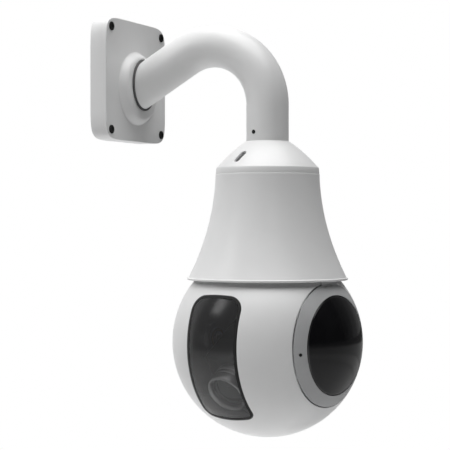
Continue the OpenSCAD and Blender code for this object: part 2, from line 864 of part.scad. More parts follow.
module pan_gear() {
    color("goldenrod") at_ball() rotate([0, 0, motor_side]) translate([0, 0, gear_z + RUN])
        gear(pan_teeth, gear_t - 2 * RUN, gear_seat_r + FIT);
}

module pan_shaft() {
    gear_top = gear_z + gear_t + EPS;
    flange_top = gear_top + gear_flange_t;
    color("silver") at_yoke() difference() {
        rotate_extrude() polygon([
            [shaft_bore_r + FIT, gear_z], [gear_seat_r, gear_z],
            [gear_seat_r, gear_top], [gear_flange_r, gear_top],
            [gear_flange_r, flange_top], [shaft_shoulder_r, flange_top],
            [shaft_shoulder_r, bearing_z], [bearing_in, bearing_z],
            [bearing_in, shaft_top], [shaft_bore_r + FIT, shaft_top]]);
        gear_screw_places() translate([0, 0, gear_t + gear_flange_t])
            shank_hole(gear_screw, gear_t + gear_flange_t + CUT);
        gear_screw_places() translate([0, 0, gear_t + gear_flange_t])
            head_hole(gear_screw, gear_t + gear_flange_t - gear_head_z);
    }
}

module gear_screws() {
    color("gray") at_yoke() gear_screw_places() translate([0, 0, gear_head_z + gear_screw[3]])
        screw(gear_screw);
}

module pan_lock_nut() {
    foot_z = bearing_z + bearing_w;
    color("gray") at_yoke() difference() {
        tube(nut_r, bearing_in + EPS, foot_z, foot_z + nut_h);
        for (a = [0:60:300]) rotate([0, 0, a]) translate([nut_notch_r, -nut_notch_w / 2, foot_z - CUT])
            cube([nut_notch_w, nut_notch_w, nut_h + 2 * CUT]);
    }
}

module tilt_axle(inner_x) {
    length = ear_hub_x + axle_flange_t - inner_x;
    difference() {
        union() {
            about_x() translate([0, 0, inner_x]) cylinder(r = axle_r, h = length - LAP);
            about_x() translate([0, 0, ear_hub_x]) cylinder(r = axle_flange_r, h = axle_flange_t);
        }
        about_x() translate([0, 0, inner_x - CUT]) cylinder(r = axle_bore_r, h = length + 2 * CUT);
        axle_screw_places() translate([0, 0, axle_flange_t]) shank_hole(axle_screw, axle_flange_t + CUT);
    }
}

module tilt_axle_right() { color("silver") at_yoke() tilt_axle(axle_right_x); }

module tilt_axle_left() { color("silver") at_yoke() mirror([1, 0, 0]) tilt_axle(axle_left_x); }

module axle_screws() {
    color("gray") at_yoke() both_sides() axle_screw_places()
        translate([0, 0, axle_flange_t + axle_screw[3]]) screw(axle_screw);
}

module tilt_gear() {
    color("goldenrod") at_drum() tilt_gear_frame() gear(tilt_teeth, gear_t, axle_r + EPS);
}

// On the tilt axle: z runs along it, x points at the tilt motor
module tilt_gear_frame() {
    about_x() rotate([0, 0, 90 + tilt_motor_side]) translate([0, 0, tilt_gear_x]) children();
}

// Drum, which tilts

// The window opening's outline, smaller all round by the given margin: a strip around the tilt axle
// with rounded corners, seen square on from in front of its middle
function window_outline(margin) =
    let (half_w = window_w / 2 - margin,
         half_h = window_arc / 2 * PI / 180 * ball_r - margin,
         corner = window_corner - margin)
    [for (quarter = [0:3], k = [0:window_steps])
        let (a = 90 * (quarter + k / window_steps),
             x = (quarter == 0 || quarter == 3 ? 1 : -1) * (half_w - corner) + corner * cos(a),
             h = (quarter < 2 ? 1 : -1) * (half_h - corner) + corner * sin(a))
        [x, sqrt(ball_r * ball_r - x * x) * sin(h / ball_r * 180 / PI)]];

module window_prism(margin) {
    rotate([90 - window_arc / 2 + window_below, 0, 0])
        linear_extrude(ball_d) polygon(window_outline(margin));
}

// Half of the ball on the lens side of the seam
module lens_half() {
    rotate([90 - seam_angle, 0, 0]) translate([-ball_d, -2 * ball_d, -ball_d]) cube(2 * ball_d);
}

module drum_band() {
    intersection() {
        shell(ball_r, ball_r - drum_wall);
        translate([-drum_x, -ball_r, -ball_r]) cube([2 * drum_x, ball_d, ball_d]);
    }
}

// Places on an end plate's screw circle: z points outward along the axle, x away from it
module lug_places(angles) {
    for (e = angles) about_x() rotate([0, 0, -90 - e]) translate([lug_circle, 0, 0]) children();
}

// Ribs inside the drum that take the end plates' screws
module drum_lugs(angles) {
    both_sides() lug_places(angles) translate([-lug_in, -lug[1] / 2, lug_x])
        cube([lug[0], lug[1], end_x - lug_x]);
}

module lug_holes(angles) {
    both_sides() lug_places(angles) translate([0, 0, end_x]) shank_hole(plate_screw, end_x - lug_hole_x);
}

module drum_front_shell() {
    color("white") at_drum() difference() {
        union() {
            intersection() {
                drum_band();
                lens_half();
            }
            drum_lugs(front_lugs);
        }
        window_prism(0);
        lug_holes(front_lugs);
    }
}

module drum_rear_shell() {
    color("white") at_drum() difference() {
        union() {
            difference() {
                drum_band();
                lens_half();
            }
            drum_lugs(rear_lugs);
        }
        lug_holes(rear_lugs);
    }
}

module window_seal() {
    color("black") at_drum() difference() {
        intersection() {
            shell(ball_r - window_seal_sink, ball_r - drum_wall);
            window_prism(0);
        }
        window_prism(window_seal_w);
    }
}

module window() {
    color("dimgray") at_drum() intersection() {
        shell(ball_r - window_sink, ball_r - window_sink - window_t);
        window_prism(window_seal_w);
    }
}

module end_plate() {
    difference() {
        about_x() {
            translate([0, 0, drum_x - end_plate_t]) cylinder(r = end_plate_r, h = end_plate_t);
            translate([0, 0, end_x]) cylinder(r = end_step_r, h = end_step_t + EPS);
            translate([0, 0, bush_x]) cylinder(r = bush_r + bush_wall, h = drum_x - bush_x);
        }
        about_x() cylinder(r = bush_r, h = ball_r);
        lug_places(concat(front_lugs, rear_lugs)) translate([0, 0, drum_x]) {
            shank_hole(plate_screw, drum_x - lug_hole_x);
            head_hole(plate_screw, plate_screw[3] + plate_screw_sink);
        }
    }
}

module end_plate_right() { color("darkgray") at_drum() end_plate(); }

module end_plate_left() { color("darkgray") at_drum() mirror([1, 0, 0]) end_plate(); }

module end_plate_screws() {
    color("gray") at_drum() both_sides() lug_places(concat(front_lugs, rear_lugs))
        translate([0, 0, drum_x - plate_screw_sink]) screw(plate_screw);
}

module tilt_bush() {
    about_x() rotate_extrude() polygon([
        [axle_r + RUN, bush_x], [bush_r - EPS, bush_x],
        [bush_r - EPS, drum_x + EPS], [bush_flange_r, drum_x + EPS],
        [bush_flange_r, drum_x + bush_flange_t], [axle_r + RUN, drum_x + bush_flange_t]]);
}

module tilt_bush_right() { color("peru") at_drum() tilt_bush(); }

module tilt_bush_left() { color("peru") at_drum() mirror([1, 0, 0]) tilt_bush(); }

// Camera inside the drum, drawn with z along the lens

module camera_block() {
    color("dimgray") at_drum() difference() {
        translate([-block_w / 2, block_front, -block_h / 2])
            cube([block_w, block_back - block_front, block_h]);
        out_from_wall() translate([0, 0, lens_bore_end]) cylinder(r = lens_bore_r, h = ball_r);
    }
}

module lens_barrel() {
    color("black") at_drum() out_from_wall() tube(lens_barrel_r, lens_bore_r, -block_front, -lens_front);
}

module front_lens() {
    lens_face = -lens_front - lens_sink;
    color("darkslateblue") at_drum() out_from_wall() intersection() {
        translate([0, 0, lens_face - lens_t]) cylinder(r = lens_bore_r - EPS, h = lens_t + CUT);
        translate([0, 0, lens_face - lens_curve_r]) sphere(r = lens_curve_r);
    }
}

// A lens in its ring: the lens's front face is a ball of the given centre and radius
module lens_cell(back, length, lens_r, lens_t, face) {
    tube(lens_bore_r - RUN, lens_r, back, back + length);
    intersection() {
        translate([0, 0, back + length - cell_inset - lens_t]) cylinder(r = lens_r + cell_lap, h = lens_t);
        translate([0, 0, face[0]]) sphere(r = face[1]);
    }
}

module zoom_group() {
    color("slategray") at_drum() out_from_wall()
        lens_cell(zoom_at, zoom_len, zoom_r, cell_lens[0], zoom_curve);
}

module focus_group() {
    color("slategray") at_drum() out_from_wall()
        lens_cell(focus_at, focus_len, focus_r, cell_lens[1], focus_curve);
}

module image_sensor() {
    color("darkgreen") at_drum() translate([-sensor[0] / 2, -lens_bore_end - sensor[1], -sensor[2] / 2])
        cube(sensor);
}

module sensor_board() {
    color("darkgreen") at_drum() translate([-sensor_plate[0] / 2, block_back, -sensor_plate[2] / 2])
        cube(sensor_plate);
}

module camera_cradle() {
    color("silver") at_drum() translate([0, 0, -block_h / 2]) {
        translate([-end_x, -cradle_len / 2, -cradle_t]) cube([2 * end_x, cradle_len, cradle_t]);
        both_sides() translate([end_x - cradle_tab[0], -cradle_tab[1] / 2, -EPS]) cube(cradle_tab);
    }
}

module tilt_motor_place() {
    about_x() rotate([0, 0, 90 + tilt_motor_side]) translate([tilt_centres, 0, 0]) children();
}

module tilt_motor() {
    neck_x = tilt_motor_x + tilt_motor_len;
    color("dimgray") at_drum() tilt_motor_place() difference() {
        union() {
            translate([0, 0, tilt_motor_x]) cylinder(r = tilt_motor_r, h = tilt_motor_len);
            translate([0, 0, neck_x - LAP]) cylinder(r = tilt_neck_r, h = tilt_neck_len + LAP);
        }
        translate([0, 0, tilt_shaft_x - 2 * CUT])
            cylinder(r = tilt_shaft_r + RUN, h = tilt_motor_len + 2 * CUT);
    }
}

module tilt_motor_bracket() {
    foot_x = tilt_motor_x + tilt_motor_len;
    color("silver") at_drum() tilt_motor_place() difference() {
        translate([0, 0, foot_x]) {
            translate([bracket_at[0], bracket_at[1], 0]) cube(bracket);
            for (side = [-1, 1]) translate([bracket_post_at[0], side * bracket_post_at[1], 0])
                cylinder(r = bracket_post_r, h = end_x - foot_x);
        }
        translate([0, 0, foot_x - CUT]) cylinder(r = tilt_neck_r + FIT, h = bracket[2] + 2 * CUT);
    }
}

module tilt_pinion() {
    color("goldenrod") at_drum() tilt_motor_place() {
        translate([0, 0, tilt_gear_x]) pinion();
        translate([0, 0, tilt_shaft_x]) cylinder(r = tilt_shaft_r, h = tilt_gear_x + gear_t - tilt_shaft_x);
    }
}

wall_box();
box_seal();
box_cover();
cover_screws();
arm_seal();
arm_bolts();
arm_tube();
arm_set_screw();
mount_cap();
cap_lock_screw();
cap_screws();
bell_housing();
chassis_plate();
chassis_screws();
pan_motor();
pan_bearing_outer();
slip_ring_bridge();
slip_ring_stator();
main_board();
board_standoffs();
network_jack();
heat_sink();
pan_pinion();
yoke();
pan_shaft();
pan_gear();
pan_bearing_inner();
pan_bearing_balls();
pan_lock_nut();
gear_screws();
slip_ring_rotor();
ear_cap_left();
ear_cap_right();
ear_screws();
tilt_axle_left();
tilt_axle_right();
axle_screws();
tilt_gear();
drum_front_shell();
drum_rear_shell();
end_plate_left();
end_plate_right();
end_plate_screws();
tilt_bush_left();
tilt_bush_right();
window();
window_seal();
camera_block();
camera_cradle();
lens_barrel();
front_lens();
image_sensor();
sensor_board();
tilt_motor();
tilt_motor_bracket();
tilt_pinion();
zoom_group();
focus_group();
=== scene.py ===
# %% [markdown]
# # An outdoor ball camera on a gooseneck wall arm
#
# The CAD model of this camera arrives as a fixed frame: every node is already in metres and in its
# place. This lesson dresses it for the picture. It paints the nodes that are right as they are, and it
# replaces the ones that a lens comes close to with smoother surfaces, worked out with numpy on grids of
# two parameters. Each new piece rides on the CAD body that it belongs to, so the head still pans, tilts
# and zooms.

# %% Load the frame
import json
import math

import bmesh
import bpy
import numpy as np
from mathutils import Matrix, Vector


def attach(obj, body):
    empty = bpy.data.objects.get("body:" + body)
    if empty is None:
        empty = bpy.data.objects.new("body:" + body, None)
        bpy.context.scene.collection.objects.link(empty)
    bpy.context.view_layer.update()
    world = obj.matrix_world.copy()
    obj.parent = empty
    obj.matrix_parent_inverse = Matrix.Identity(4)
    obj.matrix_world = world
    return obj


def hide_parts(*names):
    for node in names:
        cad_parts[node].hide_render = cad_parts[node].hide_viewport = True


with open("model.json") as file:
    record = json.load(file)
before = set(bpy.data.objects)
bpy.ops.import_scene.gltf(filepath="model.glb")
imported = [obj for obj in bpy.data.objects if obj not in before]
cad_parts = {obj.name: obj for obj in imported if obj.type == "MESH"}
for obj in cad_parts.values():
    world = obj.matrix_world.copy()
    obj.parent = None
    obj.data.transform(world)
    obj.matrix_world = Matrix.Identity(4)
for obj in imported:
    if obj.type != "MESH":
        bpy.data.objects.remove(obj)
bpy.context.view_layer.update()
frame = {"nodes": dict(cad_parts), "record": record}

# %% [markdown]
# ## The camera that looks at the camera
#
# The picture was taken with a long lens held level, a little below the wall box. A level lens keeps
# upright lines upright, so the tube and the bell stay true. The place of the eye was worked out from
# how far the rim, the arm and the wall box lie from the middle of the picture. Nothing is out of focus.

# %% Place the viewpoint
EYE = (-1.4521, -0.8465, -0.1699)
LINE_OF_SIGHT = (0.8988, 0.4384, 0.0)
LENS_MM = 112.0
SENSOR_MM = 36.0

view_lens = bpy.data.cameras.new("viewpoint")
view_lens.lens = LENS_MM
view_lens.sensor_width = SENSOR_MM
viewpoint = bpy.data.objects.new("viewpoint", view_lens)
viewpoint.location = EYE
viewpoint.rotation_euler = Vector(LINE_OF_SIGHT).to_track_quat("-Z", "Y").to_euler()
bpy.context.scene.collection.objects.link(viewpoint)
bpy.context.scene.camera = viewpoint
print("lens", view_lens.lens, "mm from", EYE)

# %% [markdown]
# ## Three places to draw in
#
# Shapes are drawn in millimetres where they are simplest: the bell about the ball's centre, the yoke
# with x along the tilt axle, the drum with its lens along -y. Three small functions carry them to the
# row's frame, by the pan and tilt angles that the part is shown at.

# %% Carry points from a piece's own place to the frame
X, Y, Z = range(3)
BALL_CENTRE = np.array([0.0, -192.0, -302.0])
PAN_REST = math.radians(-102.0)
TILT_REST = math.radians(35.0)


def turned(points, angle, first, second):
    """Points turned by an angle in the plane of two axes: a' = a cos - b sin, b' = a sin + b cos."""
    out = np.array(points, float)
    a, b = points[..., first], points[..., second]
    out[..., first] = a * math.cos(angle) - b * math.sin(angle)
    out[..., second] = a * math.sin(angle) + b * math.cos(angle)
    return out


def at_ball(points):
    """From the ball's centre to the frame: a shift."""
    return points + BALL_CENTRE


def at_yoke(points):
    """From the yoke, x along the axle, to the frame: the pan turn about z, then the shift."""
    return at_ball(turned(points, PAN_REST, X, Y))


def at_drum(points):
    """From the drum, lens along -y, to the frame: the tilt turn about x, then the yoke's place."""
    return at_yoke(turned(points, TILT_REST, Y, Z))


lens_axis = at_drum(np.array([[0.0, -1.0, 0.0]]))[0] - BALL_CENTRE

# %% [markdown]
# ## From a grid of points to a piece
#
# A surface is a grid: rows along one parameter, columns along the other. Neighbouring points make
# four-sided cells, and a grid may close on itself either way, as a tube or a ring does. A piece may
# have several grids.

# %% Number the cells of grids
def cells(rows, cols, wrap_rows, wrap_cols):
    """Corner numbers of a grid's cells: (i, j), (i+1, j), (i+1, j+1), (i, j+1), counted round where the
    grid wraps."""
    row_cells, col_cells = rows - (not wrap_rows), cols - (not wrap_cols)
    i, j = np.meshgrid(np.arange(row_cells), np.arange(col_cells), indexing="ij")
    down, across = (i + 1) % rows, (j + 1) % cols
    corners = np.stack([i * cols + j, down * cols + j, down * cols + across, i * cols + across], -1)
    return corners.reshape(-1, 4)


def joined(grids):
    """Points and cells of several grids as one array of each: a grid's cells count on from the points
    before it."""
    points, faces, count = [], [], 0
    for grid, wrap_rows, wrap_cols in grids:
        rows, cols = grid.shape[:2]
        faces.append(cells(rows, cols, wrap_rows, wrap_cols) + count)
        points.append(grid.reshape(-1, 3))
        count += rows * cols
    return np.concatenate(points), np.concatenate(faces)


print("a tube of 3 rings with 4 points each has", len(cells(3, 4, False, True)), "cells")

# %% [markdown]
# The points go into the mesh as whole arrays. Points that meet at a pole or a seam are merged, the
# faces are turned outwards, and only edges sharper than the crease angle stay hard. A piece then rides
# on a body, takes a finish, and stands for the CAD node that it hides.

# %% Make a piece
MM = 0.001
MERGE = 2e-6
CREASE = math.radians(32.0)
FINISH = {}


def smoothed(mesh):
    """Merges points that coincide, turns the faces outwards and smooths them up to the crease angle."""
    shape = bmesh.new()
    shape.from_mesh(mesh)
    bmesh.ops.remove_doubles(shape, verts=shape.verts, dist=MERGE)
    bmesh.ops.recalc_face_normals(shape, faces=shape.faces)
    shape.to_mesh(mesh)
    shape.free()
    mesh.shade_smooth()
    mesh.set_sharp_from_angle(angle=CREASE)


def piece(name, grids, body, slot, hides, inside=None):
    """One mesh object from grids of (points in mm, wrap rows, wrap columns). It rides on a body, takes a
    slot's finish, and stands for the node that it hides. `inside` is a slot and the first and last row
    that wear it."""
    points, faces = joined(grids)
    mesh = bpy.data.meshes.new(name)
    mesh.from_pydata((points * MM).tolist(), [], faces.tolist())
    mesh.materials.append(FINISH[slot])
    if inside:
        lining, first, last = inside
        row_of = np.arange(len(mesh.polygons)) // grids[0][0].shape[1]
        mesh.materials.append(FINISH[lining])
        mesh.polygons.foreach_set("material_index", ((row_of >= first) & (row_of < last)).astype(np.int32))
    smoothed(mesh)
    obj = bpy.data.objects.new(name, mesh)
    bpy.context.scene.collection.objects.link(obj)
    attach(obj, body)
    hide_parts(hides)
    print(f"{name}: {len(mesh.vertices)} points, {len(mesh.polygons)} faces, rides on {body}")


print("edges sharper than", round(math.degrees(CREASE)), "degrees stay hard")

# %% [markdown]
# ## Finishes
#
# The real camera is nearly all neutral grey: white powder paint, a grey painted ring, gloss black caps,
# smoked plastic in front of the lens. What makes them look real is small: the orange peel of sprayed
# paint, a little unevenness of gloss, the fine grain of moulded rubber. Effects that several finishes
# share are built once, as node groups that put out masks and heights, and each finish places them with
# its own values.
#
# The first is sprayed paint: a fine noise for the peel's height, and a coarse one for patches of tone
# and gloss.

# %% Effect: sprayed paint
def effect(name, inputs, outputs):
    """A node group with number inputs of (label, default) and number outputs of the given labels."""
    group = bpy.data.node_groups.new(name, "ShaderNodeTree")
    for label, default in inputs:
        socket = group.interface.new_socket(label, in_out="INPUT", socket_type="NodeSocketFloat")
        socket.default_value = default
    for label in outputs:
        group.interface.new_socket(label, in_out="OUTPUT", socket_type="NodeSocketFloat")
    return group, group.nodes.new("NodeGroupInput").outputs, group.nodes.new("NodeGroupOutput").inputs


def object_place(tree):
    """The place on the piece's own mesh, which moves with the piece."""
    return tree.nodes.new("ShaderNodeTexCoord").outputs["Object"]


def noise(tree, place, scale, detail, rough):
    """Noise of 0 to 1 at a place, with its scale taken from a socket."""
    node = tree.nodes.new("ShaderNodeTexNoise")
    node.inputs["Detail"].default_value = detail
    node.inputs["Roughness"].default_value = rough
    tree.links.new(place, node.inputs["Vector"])
    tree.links.new(scale, node.inputs["Scale"])
    return node.outputs["Fac"]


sprayed, given, put_out = effect("sprayed_paint", [("Peel", 520.0), ("Mottle", 14.0)], ["Height", "Patch"])
peel = noise(sprayed, object_place(sprayed), given["Peel"], detail=2.0, rough=0.45)
patch = noise(sprayed, object_place(sprayed), given["Mottle"], detail=3.0, rough=0.6)
sprayed.links.new(peel, put_out["Height"])
sprayed.links.new(patch, put_out["Patch"])
print("effect:", sprayed.name)

# %% [markdown]
# An outdoor camera gathers dust where it faces the sky. The mask is the upward part of the surface's
# normal, broken up by a speckled noise and scaled by how much of the surface is covered.

# %% Effect: settled dust
DUST_FROM = 0.2


def combined(tree, operation, first, second):
    """A math node of two inputs, each of them a socket or a plain number."""
    node = tree.nodes.new("ShaderNodeMath")
    node.operation = operation
    for socket, value in zip(node.inputs, (first, second)):
        if isinstance(value, float):
            socket.default_value = value
        else:
            tree.links.new(value, socket)
    return node.outputs[0]


dusty, given, put_out = effect("settled_dust", [("Speck", 240.0), ("Cover", 0.25)], ["Mask"])
facing = dusty.nodes.new("ShaderNodeSeparateXYZ")
dusty.links.new(dusty.nodes.new("ShaderNodeNewGeometry").outputs["Normal"], facing.inputs[0])
upward = dusty.nodes.new("ShaderNodeMapRange")
upward.interpolation_type = "SMOOTHSTEP"
upward.inputs["From Min"].default_value = DUST_FROM
dusty.links.new(facing.outputs["Z"], upward.inputs["Value"])
speck = noise(dusty, object_place(dusty), given["Speck"], detail=4.0, rough=0.7)
thick = combined(dusty, "MULTIPLY", upward.outputs["Result"], speck)
dusty.links.new(combined(dusty, "MULTIPLY", thick, given["Cover"]), put_out["Mask"])
print("effect:", dusty.name)

# %% [markdown]
# Turned and drawn metal has fine lines along one direction. A noise squeezed along z gives them: the
# smaller the factor, the longer the lines.

# %% Effect: drawn lines
drawn, given, put_out = effect("drawn_lines", [("Lines", 900.0), ("Length", 0.04)], ["Height"])
squeeze = drawn.nodes.new("ShaderNodeCombineXYZ")
squeeze.inputs["X"].default_value = 1.0
squeeze.inputs["Y"].default_value = 1.0
drawn.links.new(given["Length"], squeeze.inputs["Z"])
squeezed = drawn.nodes.new("ShaderNodeVectorMath")
squeezed.operation = "MULTIPLY"
drawn.links.new(object_place(drawn), squeezed.inputs[0])
drawn.links.new(squeeze.outputs[0], squeezed.inputs[1])
drawn.links.new(noise(drawn, squeezed.outputs[0], given["Lines"], detail=3.0, rough=0.6), put_out["Height"])
print("effect:", drawn.name)

# %% [markdown]
# A finish is a Principled shader. Its colour runs between two close shades by the patch mask, its
# roughness varies with the same mask, and a bump from the effect's height breaks up the reflections. A
# value that is the same all over is set on the shader's own socket. Three helpers place the nodes
# between effect and shader.

# %% Helpers for a finish
MIX_LOW, MIX_HIGH, MIX_COLOUR = 6, 7, 2  # a Mix node's colour sockets: two inputs and the output


def between(tree, factor, low, high):
    """A map from a 0 to 1 factor to a low to high number."""
    node = tree.nodes.new("ShaderNodeMapRange")
    node.inputs["To Min"].default_value = low
    node.inputs["To Max"].default_value = high
    tree.links.new(factor, node.inputs["Value"])
    return node.outputs["Result"]


def shade(tree, factor, low, high):
    """A colour between two colours by a factor. Each is a socket or a plain colour."""
    node = tree.nodes.new("ShaderNodeMix")
    node.data_type = "RGBA"
    tree.links.new(factor, node.inputs["Factor"])
    for socket, colour in ((MIX_LOW, low), (MIX_HIGH, high)):
        if isinstance(colour, tuple):
            node.inputs[socket].default_value = (*colour, 1.0)
        else:
            tree.links.new(colour, node.inputs[socket])
    return node.outputs[MIX_COLOUR]


def placed(tree, group, **values):
    """A group node with its inputs set."""
    node = tree.nodes.new("ShaderNodeGroup")
    node.node_tree = group
    for label, value in values.items():
        node.inputs[label].default_value = value
    return node


print("effects to place:", sorted(group.name for group in bpy.data.node_groups))

# %% [markdown]
# Noise keeps close to its middle, so the patches are stretched before they mix the two shades. Dust
# lies over the paint as a third, warmer shade.

# %% Make a finish from its values
PRINCIPLED = "Principled BSDF"
STRETCH = (-0.6, 1.6)
DUST_TONE = (0.42, 0.41, 0.39)
BUMP_STRENGTH = 0.6


def finish(slot, dark, pale, rough, bump, group=sprayed, dust=0.0, grain=None, **sockets):
    """A material for a record slot: two shades, a low and high roughness, a bump depth in metres, and plain
    values for other sockets of the shader, with underscores for spaces."""
    material = bpy.data.materials.new(slot)
    material.use_nodes = True
    tree = material.node_tree
    shader = tree.nodes[PRINCIPLED]
    marks = placed(tree, group, **(grain or {}))
    patches = marks.outputs["Patch"] if "Patch" in marks.outputs else marks.outputs["Height"]
    colour = shade(tree, between(tree, patches, *STRETCH), dark, pale)
    if dust:
        settled = placed(tree, dusty, Cover=dust)
        colour = shade(tree, settled.outputs["Mask"], colour, DUST_TONE)
    tree.links.new(colour, shader.inputs["Base Color"])
    tree.links.new(between(tree, patches, *rough), shader.inputs["Roughness"])
    relief = tree.nodes.new("ShaderNodeBump")
    relief.inputs["Distance"].default_value = bump
    relief.inputs["Strength"].default_value = BUMP_STRENGTH
    tree.links.new(marks.outputs["Height"], relief.inputs["Height"])
    tree.links.new(relief.outputs["Normal"], shader.inputs["Normal"])
    for label, value in sockets.items():
        shader.inputs[label.replace("_", " ")].default_value = value
    FINISH[slot] = material
    print("finish:", slot)
    return tree, shader


finish("white_paint", dark=(0.755, 0.757, 0.757), pale=(0.795, 0.797, 0.797),
       rough=(0.3, 0.42), bump=0.00006, dust=0.10, grain={"Peel": 620.0, "Mottle": 11.0})
finish("grey_paint", dark=(0.40, 0.405, 0.41), pale=(0.45, 0.455, 0.46),
       rough=(0.36, 0.5), bump=0.00006, dust=0.08, grain={"Peel": 700.0, "Mottle": 16.0})
finish("black_gloss", dark=(0.005, 0.005, 0.006), pale=(0.009, 0.009, 0.010),
       rough=(0.06, 0.16), bump=0.00001, dust=0.02, grain={"Peel": 90.0, "Mottle": 26.0})

# %% [markdown]
# The dull black pieces, rubber seals and blackened screws, have a fine moulded grain and little shine.
# The grey plastic of gasket and case is a shade lighter. Metals differ in tone and in the length of
# their drawn lines.

# %% Dull finishes and metals
finish("rubber_seal", dark=(0.008, 0.008, 0.008), pale=(0.016, 0.016, 0.016),
       rough=(0.55, 0.8), bump=0.00008, grain={"Peel": 1600.0, "Mottle": 40.0}, Specular_IOR_Level=0.25)
finish("black_screw", dark=(0.006, 0.006, 0.006), pale=(0.014, 0.014, 0.014),
       rough=(0.45, 0.6), bump=0.00003, grain={"Peel": 2200.0, "Mottle": 90.0}, Specular_IOR_Level=0.25)
finish("dark_plastic", dark=(0.060, 0.060, 0.061), pale=(0.090, 0.090, 0.092),
       rough=(0.4, 0.55), bump=0.00008, grain={"Peel": 1900.0, "Mottle": 30.0})
finish("steel", dark=(0.38, 0.385, 0.39), pale=(0.60, 0.605, 0.61),
       rough=(0.22, 0.4), bump=0.00003, group=drawn, grain={"Lines": 1400.0, "Length": 0.05}, Metallic=1.0)
finish("bare_aluminium", dark=(0.58, 0.585, 0.59), pale=(0.78, 0.785, 0.79),
       rough=(0.28, 0.46), bump=0.00004, group=drawn, grain={"Lines": 800.0, "Length": 0.12}, Metallic=1.0)
finish("brass_gear", dark=(0.30, 0.21, 0.09), pale=(0.48, 0.35, 0.16),
       rough=(0.3, 0.5), bump=0.00003, group=drawn, grain={"Lines": 1200.0, "Length": 0.3}, Metallic=1.0)

# %% [markdown]
# The window is smoked plastic: mostly dark, partly see-through, so the lens behind it only shows
# faintly. Real refraction through a thin bent sheet costs a lot of light paths and hardly shows, so the
# smoke is plain alpha. Only the front face is smoked. The sheet's back face is clear, or the smoke
# would count twice. The front lens carries a greenish coating under a clear coat.

# %% Window and lens
SMOKE = 0.63
tree, shader = finish("window_glass", dark=(0.010, 0.010, 0.011), pale=(0.016, 0.016, 0.017),
                      rough=(0.15, 0.21), bump=0.000004, grain={"Peel": 60.0, "Mottle": 18.0}, IOR=1.6)
back_face = tree.nodes.new("ShaderNodeNewGeometry").outputs["Backfacing"]
tree.links.new(between(tree, back_face, SMOKE, 0.0), shader.inputs["Alpha"])
FINISH["window_glass"].surface_render_method = "BLENDED"

finish("lens_glass", dark=(0.010, 0.022, 0.020), pale=(0.018, 0.034, 0.030),
       rough=(0.02, 0.05), bump=0.000002, grain={"Peel": 40.0, "Mottle": 60.0},
       Coat_Weight=0.3, Coat_Roughness=0.02, Specular_IOR_Level=0.5)

# %% [markdown]
# The circuit boards are green lacquer over copper. A brick pattern lays rows of pads and tracks over
# the lacquer.

# %% Circuit board
TRACK_SCALE = 90.0
TRACK_WIDTH = 0.035
COPPER = (0.30, 0.22, 0.08)
tree, shader = finish("circuit_board", dark=(0.012, 0.060, 0.030), pale=(0.020, 0.085, 0.045),
                      rough=(0.3, 0.5), bump=0.00002, grain={"Peel": 1500.0, "Mottle": 60.0})
tracks = tree.nodes.new("ShaderNodeTexBrick")
tracks.inputs["Scale"].default_value = TRACK_SCALE
tracks.inputs["Mortar Size"].default_value = TRACK_WIDTH
tree.links.new(object_place(tree), tracks.inputs["Vector"])
lacquer = shader.inputs["Base Color"].links[0].from_socket
tree.links.new(shade(tree, tracks.outputs["Fac"], lacquer, COPPER), shader.inputs["Base Color"])
print("finishes made:", len(FINISH))

# %% [markdown]
# ## Wall box
#
# The box that screws to the wall has softly bowed sides: a superellipse, which is a circle pushed
# towards a square. A bevelled cube would be quicker, but its sides would be flat. Drawn by its formula,
# one outline serves the box, its inside and the cover, each at its own size.

# %% The box's bowed outline
BOX_HALF = 71.0
BOX_POWER = 8


def square_walk(steps):
    """Points round the unit square, anticlockwise from its lower left corner, in equal steps."""
    t = np.linspace(-1, 1, steps, endpoint=False)
    one = np.ones(steps)
    return np.concatenate([np.stack(side, -1) for side in ((t, -one), (one, t), (-t, one), (-one, -t))])


def bowed(direction, half):
    """The bowed square in each direction: half over the eighth root of |cos|^8 + |sin|^8, out from the
    middle."""
    unit = direction / np.linalg.norm(direction, axis=1)[:, None]
    return unit * half / (np.abs(unit) ** BOX_POWER).sum(1, keepdims=True) ** (1 / BOX_POWER)


def standing(outlines, depths):
    """Flat outlines in x and z set at depths along y: a grid with one row for each."""
    depths = np.broadcast_to(np.asarray(depths, float)[:, None], outlines.shape[:2])
    return np.stack([outlines[..., 0], depths, outlines[..., 1]], -1)


corner_reach = np.linalg.norm(bowed(np.array([[1.0, 1.0]]), BOX_HALF))
print("wall box: half width", BOX_HALF, "mm, to a corner", round(corner_reach, 1), "mm")

# %% [markdown]
# The back of the box is a plate with four bolt holes and one hole for the cable. Holes cut with a
# boolean leave long thin triangles, so the plate is a patchwork instead: nine square cells, five of
# them with a round hole in the middle. Each hole has a small chamfer on both sides.

# %% Cells of the back plate
BACK_T = 3.5
CELL = 40.0
CELL_STEPS = 14
CHAMFER = 0.5


def holed_cell(centre, hole_r):
    """A square cell with a round hole: square, circle, circle, square, at the back and then the front."""
    walk = square_walk(CELL_STEPS)
    unit = walk / np.linalg.norm(walk, axis=1)[:, None]
    square, lip, circle = walk * CELL / 2, unit * (hole_r + CHAMFER), unit * hole_r
    loops = np.stack([square, lip, circle, circle, lip, square]) + np.array(centre)
    return standing(loops, [0, 0, -CHAMFER, CHAMFER - BACK_T, -BACK_T, -BACK_T]), False, True


def plain_cell(centre, depth):
    """A flat square cell."""
    t = np.linspace(-CELL / 2, CELL / 2, CELL_STEPS + 1)
    x, z = np.meshgrid(t + centre[0], t + centre[1], indexing="ij")
    return np.stack([x, np.full_like(x, depth), z], -1), False, False


print("back plate:", BACK_T, "mm thick, cells of", CELL, "mm")

# %% [markdown]
# A ring closes the box: from the edge of the patchwork out to the bowed outline, over a rounded edge,
# up the side, over the front edge, down the inside and back to the patchwork.

